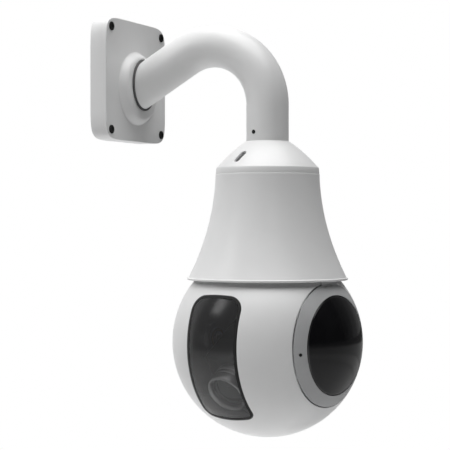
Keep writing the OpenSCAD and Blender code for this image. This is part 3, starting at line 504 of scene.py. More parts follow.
# %% Box shell
BOX_INSIDE = BOX_HALF - BACK_T
BOX_FRONT = -16.2
CELLS_ACROSS = 3
PLATE_HALF = CELLS_ACROSS * CELL / 2
BOLT_HOLE_R = 3.5
CABLE_HOLE_R = 15.0

# half width and depth of each row
rim_rows = [(BOX_HALF - 1.0, 0.0), (BOX_HALF - 0.4, -0.1), (BOX_HALF - 0.1, -0.4), (BOX_HALF, -1.0),
            (BOX_HALF, BOX_FRONT + 0.3), (BOX_HALF - 0.05, BOX_FRONT + 0.05), (BOX_HALF - 0.3, BOX_FRONT),
            (BOX_INSIDE, BOX_FRONT), (BOX_INSIDE, -BACK_T - 2), (BOX_INSIDE - 1, -BACK_T)]
walk = square_walk(CELLS_ACROSS * CELL_STEPS)
plate_edge = walk * PLATE_HALF
box_loops = np.stack([plate_edge] + [bowed(walk, half) for half, _ in rim_rows] + [plate_edge])
box_depths = [0] + [depth for _, depth in rim_rows] + [-BACK_T]
corner_cells = [(x, z) for x in (-CELL, CELL) for z in (-CELL, CELL)]
side_cells = [(-CELL, 0), (CELL, 0), (0, -CELL), (0, CELL)]

box_grids = [(standing(box_loops, box_depths), False, True)]
box_grids += [holed_cell(centre, BOLT_HOLE_R) for centre in corner_cells]
box_grids += [holed_cell((0, 0), CABLE_HOLE_R)]
box_grids += [plain_cell(centre, depth) for centre in side_cells for depth in (0, -BACK_T)]
piece("wall_box_shell", box_grids, "bracket", "white_paint", "wall_box")

# %% [markdown]
# The cover over the box is a casting that swells into a soft round boss where the arm starts. A
# bevelled cylinder on a plate would meet it at a hard line. As one height field, the plate flows into
# the boss: rows run from the middle of the boss out to the bowed edge.

# %% The cover's face and boss
COVER_FRONT = -21.5
BOSS_MIDDLE = np.array([0.0, -8.0])
BOSS_H = 9.0
BOSS_TOP_R = 35.0
BOSS_FOOT_R = 43.5
BOSS_ROUND = 2.2
BOSS_HOLLOW = 1.6
EDGE_R = 1.1
FACE_ROWS = 90
FACE_COLS = 360
TAU = 2 * math.pi


def round_turn(steps):
    """Equal angles round a full turn, without the last, which is the first again."""
    return np.linspace(0, TAU, steps, endpoint=False)


def boss_height(distance):
    """Height of the boss: full inside its top, then (1 - u^2.2)^1.6 as u goes from 0 to 1 at its foot."""
    u = np.clip((distance - BOSS_TOP_R) / (BOSS_FOOT_R - BOSS_TOP_R), 0, 1)
    return BOSS_H * (1 - u ** BOSS_ROUND) ** BOSS_HOLLOW


directions = np.stack([np.cos(round_turn(FACE_COLS)), np.sin(round_turn(FACE_COLS))], -1)
spread = np.linspace(0, 1, FACE_ROWS)[:, None, None]
face = BOSS_MIDDLE * (1 - spread) + bowed(directions, BOX_HALF - EDGE_R) * spread
face_depth = COVER_FRONT - boss_height(np.linalg.norm(face - BOSS_MIDDLE, axis=-1))
front_face = np.stack([face[..., 0], face_depth, face[..., 1]], -1)
print("cover: the boss stands", BOSS_H, "mm proud of the face")

# %% [markdown]
# The same rows go on over a rounded edge and down the side. A thin lip reaches back to the box, so that
# the side shows a fine joint and no open gap, and the last rows close the back.

# %% Cover plate
COVER_BACK = -16.5
COVER_LIP = -16.24
LIP_W = 0.8
EDGE_ROWS = 7

turn = np.linspace(0, math.pi / 2, EDGE_ROWS)[1:]
edge = np.stack([bowed(directions, BOX_HALF - EDGE_R * (1 - math.sin(a))) for a in turn])
edge_rows = standing(edge, COVER_FRONT + EDGE_R * (1 - np.cos(turn)))
# half width and depth of each row
lip = [(BOX_HALF, COVER_LIP - 0.1), (BOX_HALF - 0.1, COVER_LIP), (BOX_HALF - LIP_W, COVER_LIP),
       (BOX_HALF - LIP_W, COVER_BACK), (40.0, COVER_BACK), (0.01, COVER_BACK)]
back_rows = standing(np.stack([bowed(directions, half) for half, _ in lip]), [depth for _, depth in lip])
cover = np.concatenate([front_face, edge_rows, back_rows])
piece("cover_plate", [(cover, False, True)], "bracket", "white_paint", "box_cover")

# %% [markdown]
# The cover's four screws are black cap screws with a hex socket. A screw head is one surface of rows:
# round at the rim, six-sided in the socket, with the change between them in the flat ring. The same
# function makes every screw that shows.

# %% Screw heads
COVER_PITCH = 59.5
SOCKET_RING = 1.3
SOCKET_LIP = 1.08
SOCKET_FLOOR = 0.3


def along_lens(points):
    """Turns the axis from z onto -y, the way that the lens looks and the wall box faces."""
    return np.stack([points[..., X], -points[..., Z], points[..., Y]], -1)


def hex_factor(angles):
    """A hexagon's radius over its inscribed circle's: 1 / cos of the angle to the nearest flat's middle."""
    return 1 / np.cos((angles + math.pi / 6) % (math.pi / 3) - math.pi / 6)


def screw_head(head_r, height, socket_r, sunk, ease=0.5, steps=48):
    """A head along z with its foot `sunk` below 0. Rows of (radius, height, share of six-sidedness): foot,
    side, eased rim, flat, then the socket."""
    a = round_turn(steps)
    floor = height * SOCKET_FLOOR
    rows = np.array([[0.0, -sunk, 0], [head_r, -sunk, 0], [head_r, height - ease, 0],
                     [head_r - 0.3 * ease, height - 0.3 * ease, 0], [head_r - ease, height, 0],
                     [socket_r * SOCKET_RING, height, 0.5], [socket_r * SOCKET_LIP, height, 1],
                     [socket_r, height - 0.1, 1], [socket_r, floor + 0.05, 1], [0.0, floor, 1]])
    r, h, six = rows[:, :1], rows[:, 1:2], rows[:, 2:]
    radius = r * (1 - six + six * hex_factor(a))
    return np.stack([radius * np.cos(a), radius * np.sin(a), h + 0 * a], -1)


cover_head = along_lens(screw_head(head_r=5.0, height=1.4, socket_r=2.4, sunk=2.6))
corners = [(x, z) for x in (-COVER_PITCH, COVER_PITCH) for z in (-COVER_PITCH, COVER_PITCH)]
cover_heads = [(cover_head + np.array([x, COVER_FRONT, z]), False, True) for x, z in corners]
piece("cover_screw_heads", cover_heads, "bracket", "black_screw", "cover_screws")

# %% [markdown]
# ## Arm
#
# The arm is one bent pipe. It leaves the boss at a rise of 30 degrees, turns over through 120 degrees
# and drops straight down to the head. A curve with a round bevel would do, but its ends could not be
# cut at a slant. So a path is worked out first, with its direction at each point.

# %% The arm's path
ARM_ROOT_Y = -32.5
ARM_ROOT_Z = -4.0
ARM_FOOT_Z = -75.0
RISE = math.radians(30.0)
BEND_R = 70.0
BEND_Y = BALL_CENTRE[Y] + BEND_R
RISE_RUN = ARM_ROOT_Y - BEND_Y - BEND_R * math.sin(RISE)
BEND_Z = ARM_ROOT_Z + RISE_RUN * math.tan(RISE) - BEND_R * math.cos(RISE)
RISE_ROWS, BEND_ROWS, DROP_ROWS = 8, 48, 5


def arm_path():
    """Points and directions in y and z: a straight rise, an arc of 120 degrees, a straight drop."""
    start, foot = np.array([ARM_ROOT_Y, ARM_ROOT_Z]), np.array([BEND_Y - BEND_R, ARM_FOOT_Z])
    sweep = np.linspace(math.pi / 2 - RISE, math.pi, BEND_ROWS)
    bend = np.stack([BEND_Y + BEND_R * np.cos(sweep), BEND_Z + BEND_R * np.sin(sweep)], -1)
    rise = start + (bend[0] - start) * np.linspace(0, 1, RISE_ROWS, endpoint=False)[:, None]
    drop = bend[-1] + (foot - bend[-1]) * np.linspace(0, 1, DROP_ROWS + 1)[1:, None]
    along_rise = np.tile([-math.cos(RISE), math.sin(RISE)], (RISE_ROWS, 1))
    along_bend = np.stack([-np.sin(sweep), np.cos(sweep)], -1)
    along_drop = np.tile([0.0, -1.0], (DROP_ROWS, 1))
    return np.concatenate([rise, bend, drop]), np.concatenate([along_rise, along_bend, along_drop])


print("arm: the bend's middle is at y", round(BEND_Y, 1), "and z", round(BEND_Z, 1), "mm")

# %% [markdown]
# A circle is carried along that path. Each ring stands square to the path, except the first, which
# slides along the tube until it lies flat on the gasket. An inner tube, joined to the outer one at both
# ends, makes it hollow.

# %% Tube of the arm
TUBE_R = 24.15
TUBE_BORE = 20.15
ARM_TURN = round_turn(96)


def tube_grid(radius, angles):
    """Rings on the path: centre + r cos a along x + r sin a along the path's normal."""
    centre, along = arm_path()
    normal = np.stack([-along[:, 1], along[:, 0]], -1)
    y = centre[:, :1] + radius * np.sin(angles) * normal[:, :1]
    z = centre[:, 1:] + radius * np.sin(angles) * normal[:, 1:]
    slide = (ARM_ROOT_Y - y[0]) / along[0, 0]
    y[0], z[0] = y[0] + slide * along[0, 0], z[0] + slide * along[0, 1]
    return np.stack([radius * np.cos(angles) + 0 * y, y, z], -1)


arm_grid = np.concatenate([tube_grid(TUBE_R, ARM_TURN), tube_grid(TUBE_BORE, ARM_TURN)[::-1]])
piece("arm", [(arm_grid, True, True)], "bracket", "white_paint", "arm_tube")

# %% [markdown]
# A dark gasket lies between the boss and the tube. Like many pieces it is turned on a lathe: a profile
# of radius and height carried round an axis. Corners are never knife-sharp on a real piece, so the
# profile's corners are eased first. The tube meets the boss at a slant, which makes its foot an oval,
# and the gasket is squeezed to follow it.

# %% Gasket
SEAL_R = 30.5
SEAL_BORE = 10.0
SEAL_T = 2.0
SEAL_EASE = 0.6
SEAL_PROUD = 2.2
FULL_TURN = round_turn(160)


def eased(corners, setback, steps=5):
    """Closed outline with eased corners: each corner C becomes (1-t)^2 A + 2t(1-t) C + t^2 B, where A and B
    lie a setback away along its two sides and t runs from 0 to 1."""
    c = np.asarray(corners, float)
    back, ahead = np.roll(c, 1, 0) - c, np.roll(c, -1, 0) - c
    reach = np.broadcast_to(np.asarray(setback, float), len(c))[:, None]
    a = c + back / np.linalg.norm(back, axis=1)[:, None] * reach
    b = c + ahead / np.linalg.norm(ahead, axis=1)[:, None] * reach
    t = np.linspace(0, 1, steps)[None, :, None]
    return ((1 - t) ** 2 * a[:, None] + 2 * t * (1 - t) * c[:, None] + t * t * b[:, None]).reshape(-1, 2)


def lathe(profile, angles):
    """A profile of (radius, height) turned about z: x = r cos a, y = r sin a, z = height."""
    r, h = profile[:, :1], profile[:, 1:]
    return np.stack([r * np.cos(angles), r * np.sin(angles), h + 0 * angles], -1)


seal_outline = eased([(SEAL_BORE, 0.0), (SEAL_R, 0.0), (SEAL_R, SEAL_T), (SEAL_BORE, SEAL_T)], SEAL_EASE)
seal_squeeze = np.array([(TUBE_R + SEAL_PROUD) / SEAL_R, 1.0, 1.0])
seal_place = np.array([0.0, ARM_ROOT_Y + SEAL_T, ARM_ROOT_Z])
seal = along_lens(lathe(seal_outline, FULL_TURN)) * seal_squeeze + seal_place
piece("arm_gasket", [(seal, True, True)], "bracket", "dark_plastic", "arm_seal")

# %% [markdown]
# A small set screw goes through the foot of the tube and locks it to the head.

# %% Set screw
SCREW_SIDE = math.radians(164.0)
SET_SCREW_Z = 237.0


def along_x(points):
    """Turns the axis from z onto x."""
    return np.stack([points[..., Z], points[..., X], points[..., Y]], -1)


set_head = along_x(screw_head(head_r=2.4, height=0.5, socket_r=1.2, sunk=4.0, ease=0.3))
set_screw = turned(set_head + np.array([TUBE_R, 0.0, SET_SCREW_Z]), SCREW_SIDE, X, Y)
piece("set_screw", [(at_ball(set_screw), False, True)], "bracket", "black_screw", "arm_set_screw")

# %% [markdown]
# ## Cap and bell
#
# The cap is a shallow cone that spreads from the tube to the bell. It is turned like the gasket, from a
# closed profile: a slope that bulges a little, a rounded shoulder, the underside, the inside and the
# bore. The slope has many rows, and the columns lie closer together on one side, because a slot is
# pressed in there.

# %% The cap's profile
CAP_TOP = 227.0
CAP_GAP = 0.6
CAP_BEND = (42.0, 215.5)
CAP_FOOT = (57.2, 197.8)
SLOPE_ROWS = 200
INNER_ROWS = 16
CAP_COLS = 128
SLOT_COLS = 91
SLOT_SPAN = 0.125


def pulled(p, c, q, steps):
    """Curve from p to q pulled towards c: (1-t)^2 p + 2t(1-t) c + t^2 q."""
    t = np.linspace(0, 1, steps)[:, None]
    p, c, q = np.array([p, c, q], float)
    return (1 - t) ** 2 * p + 2 * t * (1 - t) * c + t * t * q


slope = pulled((TUBE_R + CAP_GAP, CAP_TOP), CAP_BEND, CAP_FOOT, SLOPE_ROWS)
shoulder = [[57.7, 197.5], [58.1, 197.0], [58.4, 196.0], [58.98, 190.2], [58.95, 190.07], [58.8, 190.03]]
underside = [[56.2, 190.03], [55.8, 193.0]]
inner_slope = pulled((55.2, 194.8), (39.6, 211.5), (21.2, 221.0), INNER_ROWS)
bore = [[16.0, 221.0], [16.0, CAP_TOP - 0.4], [16.4, CAP_TOP]]
cap_profile = np.concatenate([slope, shoulder, underside, inner_slope, bore])
slot_angles = SCREW_SIDE + np.linspace(-SLOT_SPAN, SLOT_SPAN, SLOT_COLS)
cap_angles = np.unique(np.concatenate([round_turn(CAP_COLS), slot_angles]))
print("cap:", len(cap_profile), "rows and", len(cap_angles), "columns")

# %% [markdown]
# On one side a slot is pressed into the slope, a little askew. Its shape is a capsule: the points
# nearer than its half width to a short line on the slope are pushed in along the slope's normal, and a
# smooth step rounds the edge. A boolean would cut a sharp edge and leave long triangles.

# %% Cap with its slot
SLOT_AT = (47.0, 208.4)
SLOT_HALF_LEN = 5.0
SLOT_HALF_W = 3.8
SLOT_EDGE = (-0.5, 0.2)
SLOT_SKEW = math.radians(14.0)
SLOT_DEEP = 2.4
DIAGONAL = math.sqrt(0.5)


def smooth_step(low, high, value):
    """0 below low, 1 above high, and 3t^2 - 2t^3 between them."""
    t = np.clip((value - low) / (high - low), 0, 1)
    return t * t * (3 - 2 * t)


across = (cap_angles - SCREW_SIDE) * cap_profile[:, :1]
down = ((cap_profile - np.array(SLOT_AT)) @ np.array([DIAGONAL, -DIAGONAL]))[:, None]
along_slot = down * math.cos(SLOT_SKEW) - across * math.sin(SLOT_SKEW)
beside_slot = down * math.sin(SLOT_SKEW) + across * math.cos(SLOT_SKEW)
from_line = np.hypot(np.maximum(np.abs(along_slot) - SLOT_HALF_LEN, 0), beside_slot)
press = SLOT_DEEP * (1 - smooth_step(SLOT_HALF_W + SLOT_EDGE[0], SLOT_HALF_W + SLOT_EDGE[1], from_line))
press[len(slope):] = 0
inward = np.stack([-np.cos(cap_angles), -np.sin(cap_angles), -np.ones_like(cap_angles)], -1) * DIAGONAL
cap_grid = lathe(cap_profile, cap_angles) + press[..., None] * inward
piece("cap_cone", [(at_ball(cap_grid), True, True)], "bracket", "white_paint", "mount_cap")

# %% [markdown]
# A key lies in the slot, with a small lock screw at its end. Its dark finish is partly the key's own colour
# and partly painted shade of the deep slot. The key is a low capsule: rings of one size with their two
# halves set apart. Both are drawn flat and then leant onto the slope.

# %% Key and lock screw
SLOT_LEAN = math.radians(45.0)
SLOT_FLOOR = SLOT_DEEP - 0.1
KEY_COLS = 64
KEY_ROWS = np.array([(SLOT_HALF_W, 0.4), (0.6, 0.4), (0.2, 0.0), (0.2, -1.0), (SLOT_HALF_W, -1.0)])


def in_slot(points):
    """From flat, x along the slot and z out of it, to the cap: the skew, the lean, the place, the side."""
    sunk = turned(points, -SLOT_SKEW, X, Y) - np.array([0.0, 0.0, SLOT_FLOOR])
    leant = turned(sunk, SLOT_LEAN, Z, X) + np.array([SLOT_AT[0], 0.0, SLOT_AT[1]])
    return at_ball(turned(leant, SCREW_SIDE, X, Y))


key_turn = round_turn(KEY_COLS)
key_size, key_high = SLOT_HALF_W - KEY_ROWS[:, :1], KEY_ROWS[:, 1:]
key_ends = np.sign(np.cos(key_turn)) * SLOT_HALF_LEN * (key_size > 0)
key_x, key_y = key_size * np.cos(key_turn) + key_ends, key_size * np.sin(key_turn)
shaded_key = np.stack([key_x, key_y, key_high + 0 * key_turn], -1)
lock_head = screw_head(head_r=1.7, height=0.9, socket_r=0.8, sunk=0.4, ease=0.2)
lock = lock_head + np.array([SLOT_HALF_LEN, 0.0, 0.2])
# The key's dark finish paints the slot's shade as well as the key.
piece("lock_screw", [(in_slot(shaded_key), False, True), (in_slot(lock), False, True)], "bracket", "dark_plastic",
      "cap_lock_screw")

# %% [markdown]
# The bell flares like a trumpet: its radius grows with the square of the distance below a point just
# above its top. A rounded bead stiffens the rim. Outside, bead and inside make one closed profile for
# the lathe, so the wall has a thickness without a modifier.

# %% Bell
BELL_TOP = 190.0
BELL_TOP_R = 59.0
BELL_WALL = 2.6
BELL_EASE = 0.1
RIM_R = 91.0
RIM_Z = 70.0
FLARE_Z = 196.0
FLARE_ROWS = np.linspace(BELL_TOP - 0.25, 73.0, 64)
BEAD_R, BEAD_Z, BEAD_ROUND = 89.7, 71.4, 1.6
BEAD_TURN = np.radians(np.linspace(25, -205, 18))
BELL_COLS = 224


def bell_radius(z):
    """Radius at a height: top radius + (rim - top) times the square of the share of the way down."""
    return BELL_TOP_R + (RIM_R - BELL_TOP_R) * ((FLARE_Z - z) / (FLARE_Z - RIM_Z)) ** 2


top_edge = [[BELL_TOP_R - BELL_WALL, BELL_TOP], [BELL_TOP_R - BELL_EASE, BELL_TOP],
            [BELL_TOP_R, BELL_TOP - BELL_EASE]]
outside = np.stack([bell_radius(FLARE_ROWS), FLARE_ROWS], -1)
bead = np.stack([BEAD_R + BEAD_ROUND * np.cos(BEAD_TURN), BEAD_Z + BEAD_ROUND * np.sin(BEAD_TURN)], -1)
bell_profile = np.concatenate([top_edge, outside, bead, outside[::-2] - np.array([BELL_WALL, 0.0])])
bell_grid = at_ball(lathe(bell_profile, round_turn(BELL_COLS)))
piece("bell", [(bell_grid, True, True)], "bracket", "white_paint", "bell_housing")

# %% [markdown]
# ## Yoke
#
# The yoke pans. On each side it carries a round ear whose face continues the ball and shows as a grey
# ring round a black cap. An ear is turned about the axle, from a profile that follows the ball. A small
# screw is sunk into the ring at its front and rear: the dimples are pressed in as the slot was into the
# cap, by the distance from each screw's axis.

# %% Ears
BALL_R = 108.0
EAR_R = 68.0
EAR_CAP_R = 55.0
EAR_X = math.sqrt(BALL_R ** 2 - EAR_R ** 2)
EAR_COLS = 144
SCREW_LEANS = [side * math.asin((EAR_R + EAR_CAP_R) / 2 / BALL_R) for side in (-1, 1)]
SCREW_TURN = math.radians(6.0)
DIMPLE_R = 2.1
DIMPLE_DEEP = 1.0
DIMPLE_EASE = 0.3
DIMPLE_ANGLES = SCREW_TURN + np.linspace(-0.06, 0.06, 25)


def ball_arc(radius, start, end, steps):
    """Points on a circle about the ball's centre as (distance from the axle, place along it)."""
    d = np.linspace(start, end, steps)
    return np.stack([d, np.sqrt(radius ** 2 - d ** 2)], -1)


hub = [[22.0, 91.5], [21.5, 92.0], [8.6, 92.0], [8.1, 91.5], [8.1, EAR_X + 0.4], [8.5, EAR_X]]
ear_rim = [[EAR_R - 0.9, EAR_X], [EAR_R - 0.35, EAR_X + 0.08]]
ring_face = ball_arc(BALL_R, EAR_R - 0.1, EAR_CAP_R + 0.6, 44)
ring_edge = [[EAR_CAP_R + 0.2, 92.75], [EAR_CAP_R, 92.4]]
ledge = ball_arc(BALL_R - 3.0, EAR_CAP_R, 51.5, 4)
web = [[51.5, EAR_X + 4.0], [22.0, EAR_X + 4.0]]
ear_profile = np.concatenate([hub, ear_rim, ring_face, ring_edge, ledge, web])
ear_angles = np.unique(np.concatenate([round_turn(EAR_COLS), DIMPLE_ANGLES, DIMPLE_ANGLES + math.pi]))
ear = along_x(lathe(ear_profile, ear_angles))
screw_axes = [turned(np.array([math.cos(a), math.sin(a), 0.0]), SCREW_TURN, Y, Z) for a in SCREW_LEANS]
off_axis = np.minimum(*[np.linalg.norm(np.cross(ear, axis), axis=-1) for axis in screw_axes])
dimple = DIMPLE_DEEP * (1 - smooth_step(DIMPLE_R - DIMPLE_EASE, DIMPLE_R + DIMPLE_EASE, off_axis))
dimple *= np.linalg.norm(ear, axis=-1) > BALL_R - 0.5
ear *= (1 - dimple / BALL_R)[..., None]
print("ear: ring from", EAR_CAP_R, "to", EAR_R, "mm, dimples", DIMPLE_DEEP, "mm deep")

# %% [markdown]
# The bowl of the yoke hides under the bell, just outside the drum. On each side a bridge joins it to
# the ear: a short block whose outside keeps within a circle just inside the bell and within the ball.
# Its inside is flush with the ear's inner face, so that the drum turns freely beside it. A scaled cube
# would poke out of the round shapes on both sides of it.

# %% Bowl, bridges and yoke
BOWL_IN, BOWL_OUT = BALL_R + 1.2, BALL_R + 4.0
BRIDGE_COLS = 24
BRIDGE_R = 86.8
BRIDGE_BALL = BALL_R - 0.05
BRIDGE_LEAST = EAR_X + 0.8
BRIDGE_Y = np.linspace(-15.0, 15.0, BRIDGE_COLS)
BRIDGE_Z = np.array([56.0, 56.0, 60.0, 63.0, 65.0, 67.0, 69.0, 71.0, 72.5, 72.5])[:, None]
MIRROR = np.array([-1.0, 1.0, 1.0])

bowl_top = [[11.5, 116.0], [40.0, 116.0]]
bowl_foot = [[86.5, 70.9], [86.1, 70.7], [83.4, 70.7]]
bowl_inside, bowl_outside = ball_arc(BOWL_IN, 83.1, 11.5, 40), ball_arc(BOWL_OUT, 40.0, 86.6, 30)
bowl = lathe(np.concatenate([bowl_inside, bowl_top, bowl_outside, bowl_foot]), FULL_TURN)

under_bell = np.sqrt(BRIDGE_R ** 2 - BRIDGE_Y ** 2)
under_ball = np.sqrt(BRIDGE_BALL ** 2 - BRIDGE_Y ** 2 - BRIDGE_Z ** 2)
bridge_out = np.maximum(np.minimum(under_bell, under_ball), BRIDGE_LEAST)
bridge_x = np.concatenate([bridge_out, np.full_like(bridge_out, EAR_X)], 1)
bridge_y = np.tile(np.concatenate([BRIDGE_Y, BRIDGE_Y[::-1]]), (len(BRIDGE_Z), 1))
bridge = np.stack([bridge_x, bridge_y, np.tile(BRIDGE_Z, (1, 2 * BRIDGE_COLS))], -1)
bridge[0], bridge[-1] = bridge[0].mean(0), bridge[-1].mean(0)

rings = [(at_yoke(ring), True, True) for ring in (ear, ear * MIRROR, bowl)]
bridges = [(at_yoke(block), False, True) for block in (bridge, bridge * MIRROR)]
piece("yoke_frame", rings + bridges, "pan_head", "grey_paint", "yoke")

# %% [markdown]
# The black caps are thin domes of the ball's own curve, set a little below the ring. A sphere cut by a
# plane would have a sharp rim. Here the profile turns over in a small quarter circle, so a fine line of
# light runs round it.

# %% Ear caps
DOME_R = BALL_R - 0.4
DOME_SHELL = 2.6
DOME_EDGE_R = 0.9
DOME_EDGE_AT = (EAR_CAP_R - 1.1, 91.95)
DOME_EDGE = np.radians(np.linspace(90, 0, 6))

dome_out = ball_arc(DOME_R, 0.0, EAR_CAP_R - 1.4, 40)
dome_edge = np.array(DOME_EDGE_AT) + DOME_EDGE_R * np.stack([np.cos(DOME_EDGE), np.sin(DOME_EDGE)], -1)
dome_foot = [[EAR_CAP_R - 0.4, 91.0]]
dome_in = ball_arc(DOME_R - DOME_SHELL, EAR_CAP_R - 1.2, 0.0, 24)
right_dome = along_x(lathe(np.concatenate([dome_out, dome_edge, dome_foot, dome_in]), FULL_TURN))
left_dome = right_dome * MIRROR
piece("ear_dome_right", [(at_yoke(right_dome), False, True)], "pan_head", "black_gloss", "ear_cap_right")
piece("ear_dome_left", [(at_yoke(left_dome), False, True)], "pan_head", "black_gloss", "ear_cap_left")

# %% [markdown]
# Four small screws sit in the ring's dimples and point at the ball's centre. One head is drawn on the
# axle, leant out to the ring, turned to its place and mirrored.

# %% Ear screws
EAR_SCREW_SEAT = BALL_R - 0.95

seat_head = screw_head(head_r=1.8, height=0.6, socket_r=0.9, sunk=0.6, ease=0.2, steps=36)
ear_head = along_x(seat_head) + np.array([EAR_SCREW_SEAT, 0.0, 0.0])
ear_heads = [turned(turned(ear_head, lean, X, Y), SCREW_TURN, Y, Z) for lean in SCREW_LEANS]
both_sides = [(at_yoke(head * side), False, True) for head in ear_heads for side in (np.ones(3), MIRROR)]
piece("ear_screw_heads", both_sides, "pan_head", "black_screw", "ear_screws")

# %% [markdown]
# ## Drum
#
# The drum tilts between the ears. It is a slice of the ball in two shells, and the front one has the
# window. On the ball a point is named by x along the axle and h, the arc around it. In those two
# numbers the window is a plain rectangle with round corners, smaller ones at its lower end, and so is
# the shell's own edge.

# %% Outlines on the ball
WALK = square_walk(72)
WINDOW_MIDDLE = math.radians(26.0) * BALL_R
WINDOW_HALF_W = 33.5
WINDOW_HALF_H = math.radians(40.0) * BALL_R
UPPER_CORNER, LOWER_CORNER = 16.0, 10.0
WINDOW_CORNER = np.where(WALK[:, 1:] > 0, UPPER_CORNER, LOWER_CORNER)


def round_rectangle(half_w, half_h, corner, middle):
    """A rectangle with round corners: each point of the square walk, scaled, is pulled onto a circle of the
    corner radius about the nearest point of the smaller rectangle inside."""
    size = np.array([half_w, half_h])
    target = WALK * size
    core = np.clip(target, corner - size, size - corner)
    out = target - core
    return core + out / np.linalg.norm(out, axis=1)[:, None] * corner + np.array([0.0, middle])


def window_outline(grow):
    """The window's outline, larger all round by `grow`."""
    return round_rectangle(WINDOW_HALF_W + grow, WINDOW_HALF_H + grow, WINDOW_CORNER + grow, WINDOW_MIDDLE)


def on_ball(loops, radii):
    """Points on the ball: with u = x / R, e = h / R and w = sqrt(1 - u^2), the radius times
    (u, -w cos e, w sin e)."""
    u, e = loops[..., 0] / BALL_R, loops[..., 1] / BALL_R
    w = np.sqrt(1 - u * u)
    return np.asarray(radii, float)[:, None, None] * np.stack([u, -w * np.cos(e), w * np.sin(e)], -1)


print("window: half", WINDOW_HALF_W, "by", round(WINDOW_HALF_H, 1), "mm on the ball")

# %% [markdown]
# The front shell is a set of loops that blend from its own edge to the window's outline. Both edges are
# eased by a quarter circle, and the same loops nearer the centre give the shell its thickness and its
# dark inside. Cutting the window from a sphere would leave poles and a ragged edge.

# %% Front shell
DRUM_HALF = EAR_X - 0.7
SEAM = math.radians(107.0)
SEAM_GAP = 0.15
SHELL_T = 3.0
SHELL_EASE = 0.7
WINDOW_EASE = 1.3
SHELL_CORNER = 1.2
SHELL_HALF_H = math.pi / 2 * BALL_R - SEAM_GAP
FRONT_MIDDLE = (SEAM - math.pi / 2) * BALL_R
FACE_LOOPS = 44
QUARTER = np.linspace(0, math.pi / 2, 5)


def front_edge(grow):
    """The front shell's own edge: the drum's width, and half a turn from seam to seam."""
    return round_rectangle(DRUM_HALF + grow, SHELL_HALF_H + grow, SHELL_CORNER, FRONT_MIDDLE)


def panel(outer, inner, steps, outer_ease, inner_ease):
    """Loops and radii of a curved panel between two outline functions of grow: eased outer edge, the face,
    eased inner edge, and the same loops back again nearer the centre."""
    s = np.linspace(0, 1, steps)[1:-1, None, None]
    face = outer(-outer_ease) * (1 - s) + inner(inner_ease) * s
    back = outer(0.0) * (1 - s) + inner(0.0) * s
    outer_edge = [outer(-outer_ease * (1 - c)) for c in np.cos(QUARTER)]
    inner_edge = [inner(inner_ease * (1 - c)) for c in np.cos(QUARTER[::-1])]
    loops = np.concatenate([outer_edge, face, inner_edge, [inner(0.0)], back[::-1], [outer(0.0)]])
    outer_drop = outer_ease * (1 - np.sin(QUARTER))
    inner_drop = inner_ease * (1 - np.sin(QUARTER[::-1]))
    drop = np.concatenate([outer_drop, np.zeros(len(face)), inner_drop, np.full(len(back) + 2, SHELL_T)])
    return loops, BALL_R - drop


front_loops, front_radii = panel(front_edge, window_outline, FACE_LOOPS, SHELL_EASE, WINDOW_EASE)
lining = ("dark_plastic", len(front_loops) // 2, len(front_loops))
front_shell = at_drum(on_ball(front_loops, front_radii))
piece("front_shell", [(front_shell, True, True)], "tilt_head", "white_paint", "drum_front_shell", lining)

# %% [markdown]
# The rear shell has no window, so it is simpler: a closed section across the drum, carried round the
# axle from seam to seam. Loops that shrink to a line would leave a crease down its middle. The band has
# none.

# %% Section of the rear shell
OUTSIDE_COLS = 60
INSIDE_COLS = 24
BAND_ROWS = 80
REAR_MIDDLE = (SEAM + math.pi / 2) * BALL_R


def rear_section():
    """Closed section of (x, radius) across the drum: quarter circle, outside, quarter circle, inside."""
    corner_x = DRUM_HALF - SHELL_EASE * (1 - np.cos(QUARTER))
    corner = np.stack([corner_x, BALL_R - SHELL_EASE * (1 - np.sin(QUARTER))], -1)
    outside = np.linspace(DRUM_HALF - SHELL_EASE, SHELL_EASE - DRUM_HALF, OUTSIDE_COLS)[1:-1]
    inside = np.linspace(-DRUM_HALF, DRUM_HALF, INSIDE_COLS)
    return np.concatenate([corner, np.stack([outside, np.full_like(outside, BALL_R)], -1),
                           corner[::-1] * np.array([-1.0, 1.0]),
                           np.stack([inside, np.full_like(inside, BALL_R - SHELL_T)], -1)])


print("rear shell: a section of", len(rear_section()), "points")

# %% [markdown]
# Near each seam the outside of the band drops by a quarter circle, which leaves a fine groove between
# the shells. The last row at each end closes on the middle of the wall.

# %% Rear shell
def rear_band():
    """The section carried round the axle: its radius falls by the quarter circle's drop near each seam."""
    end = SHELL_HALF_H - SHELL_EASE * (1 - np.cos(QUARTER))
    between_ends = np.linspace(SHELL_EASE - SHELL_HALF_H, SHELL_HALF_H - SHELL_EASE, BAND_ROWS)[1:-1]
    arc = np.concatenate([[-SHELL_HALF_H], -end, between_ends, end[::-1], [SHELL_HALF_H]])
    end_drop = SHELL_EASE * (1 - np.sin(QUARTER))
    drop = np.concatenate([[0.0], end_drop, np.zeros_like(between_ends), end_drop[::-1], [0.0]])
    x, radius = rear_section().T
    radius = np.where(radius > BALL_R - SHELL_T, radius - drop[:, None], radius)
    radius[[0, -1]] = BALL_R - SHELL_T / 2
    loops = np.stack(np.broadcast_arrays(x, REAR_MIDDLE + arc[:, None]), -1)
    return on_ball(loops, np.ones(len(arc))) * radius[..., None]


piece("rear_shell", [(at_drum(rear_band()), False, True)], "tilt_head", "white_paint", "drum_rear_shell")

# %% [markdown]
# A black rubber seal runs round the window: a rounded section carried along the outline, so it keeps
# the same width all round and follows the ball.

# %% Window seal
SEAL_W = 3.0
SEAL_GAP = 0.05
SEAL_SETBACKS = (0.2, 0.7, 0.7, 0.2)

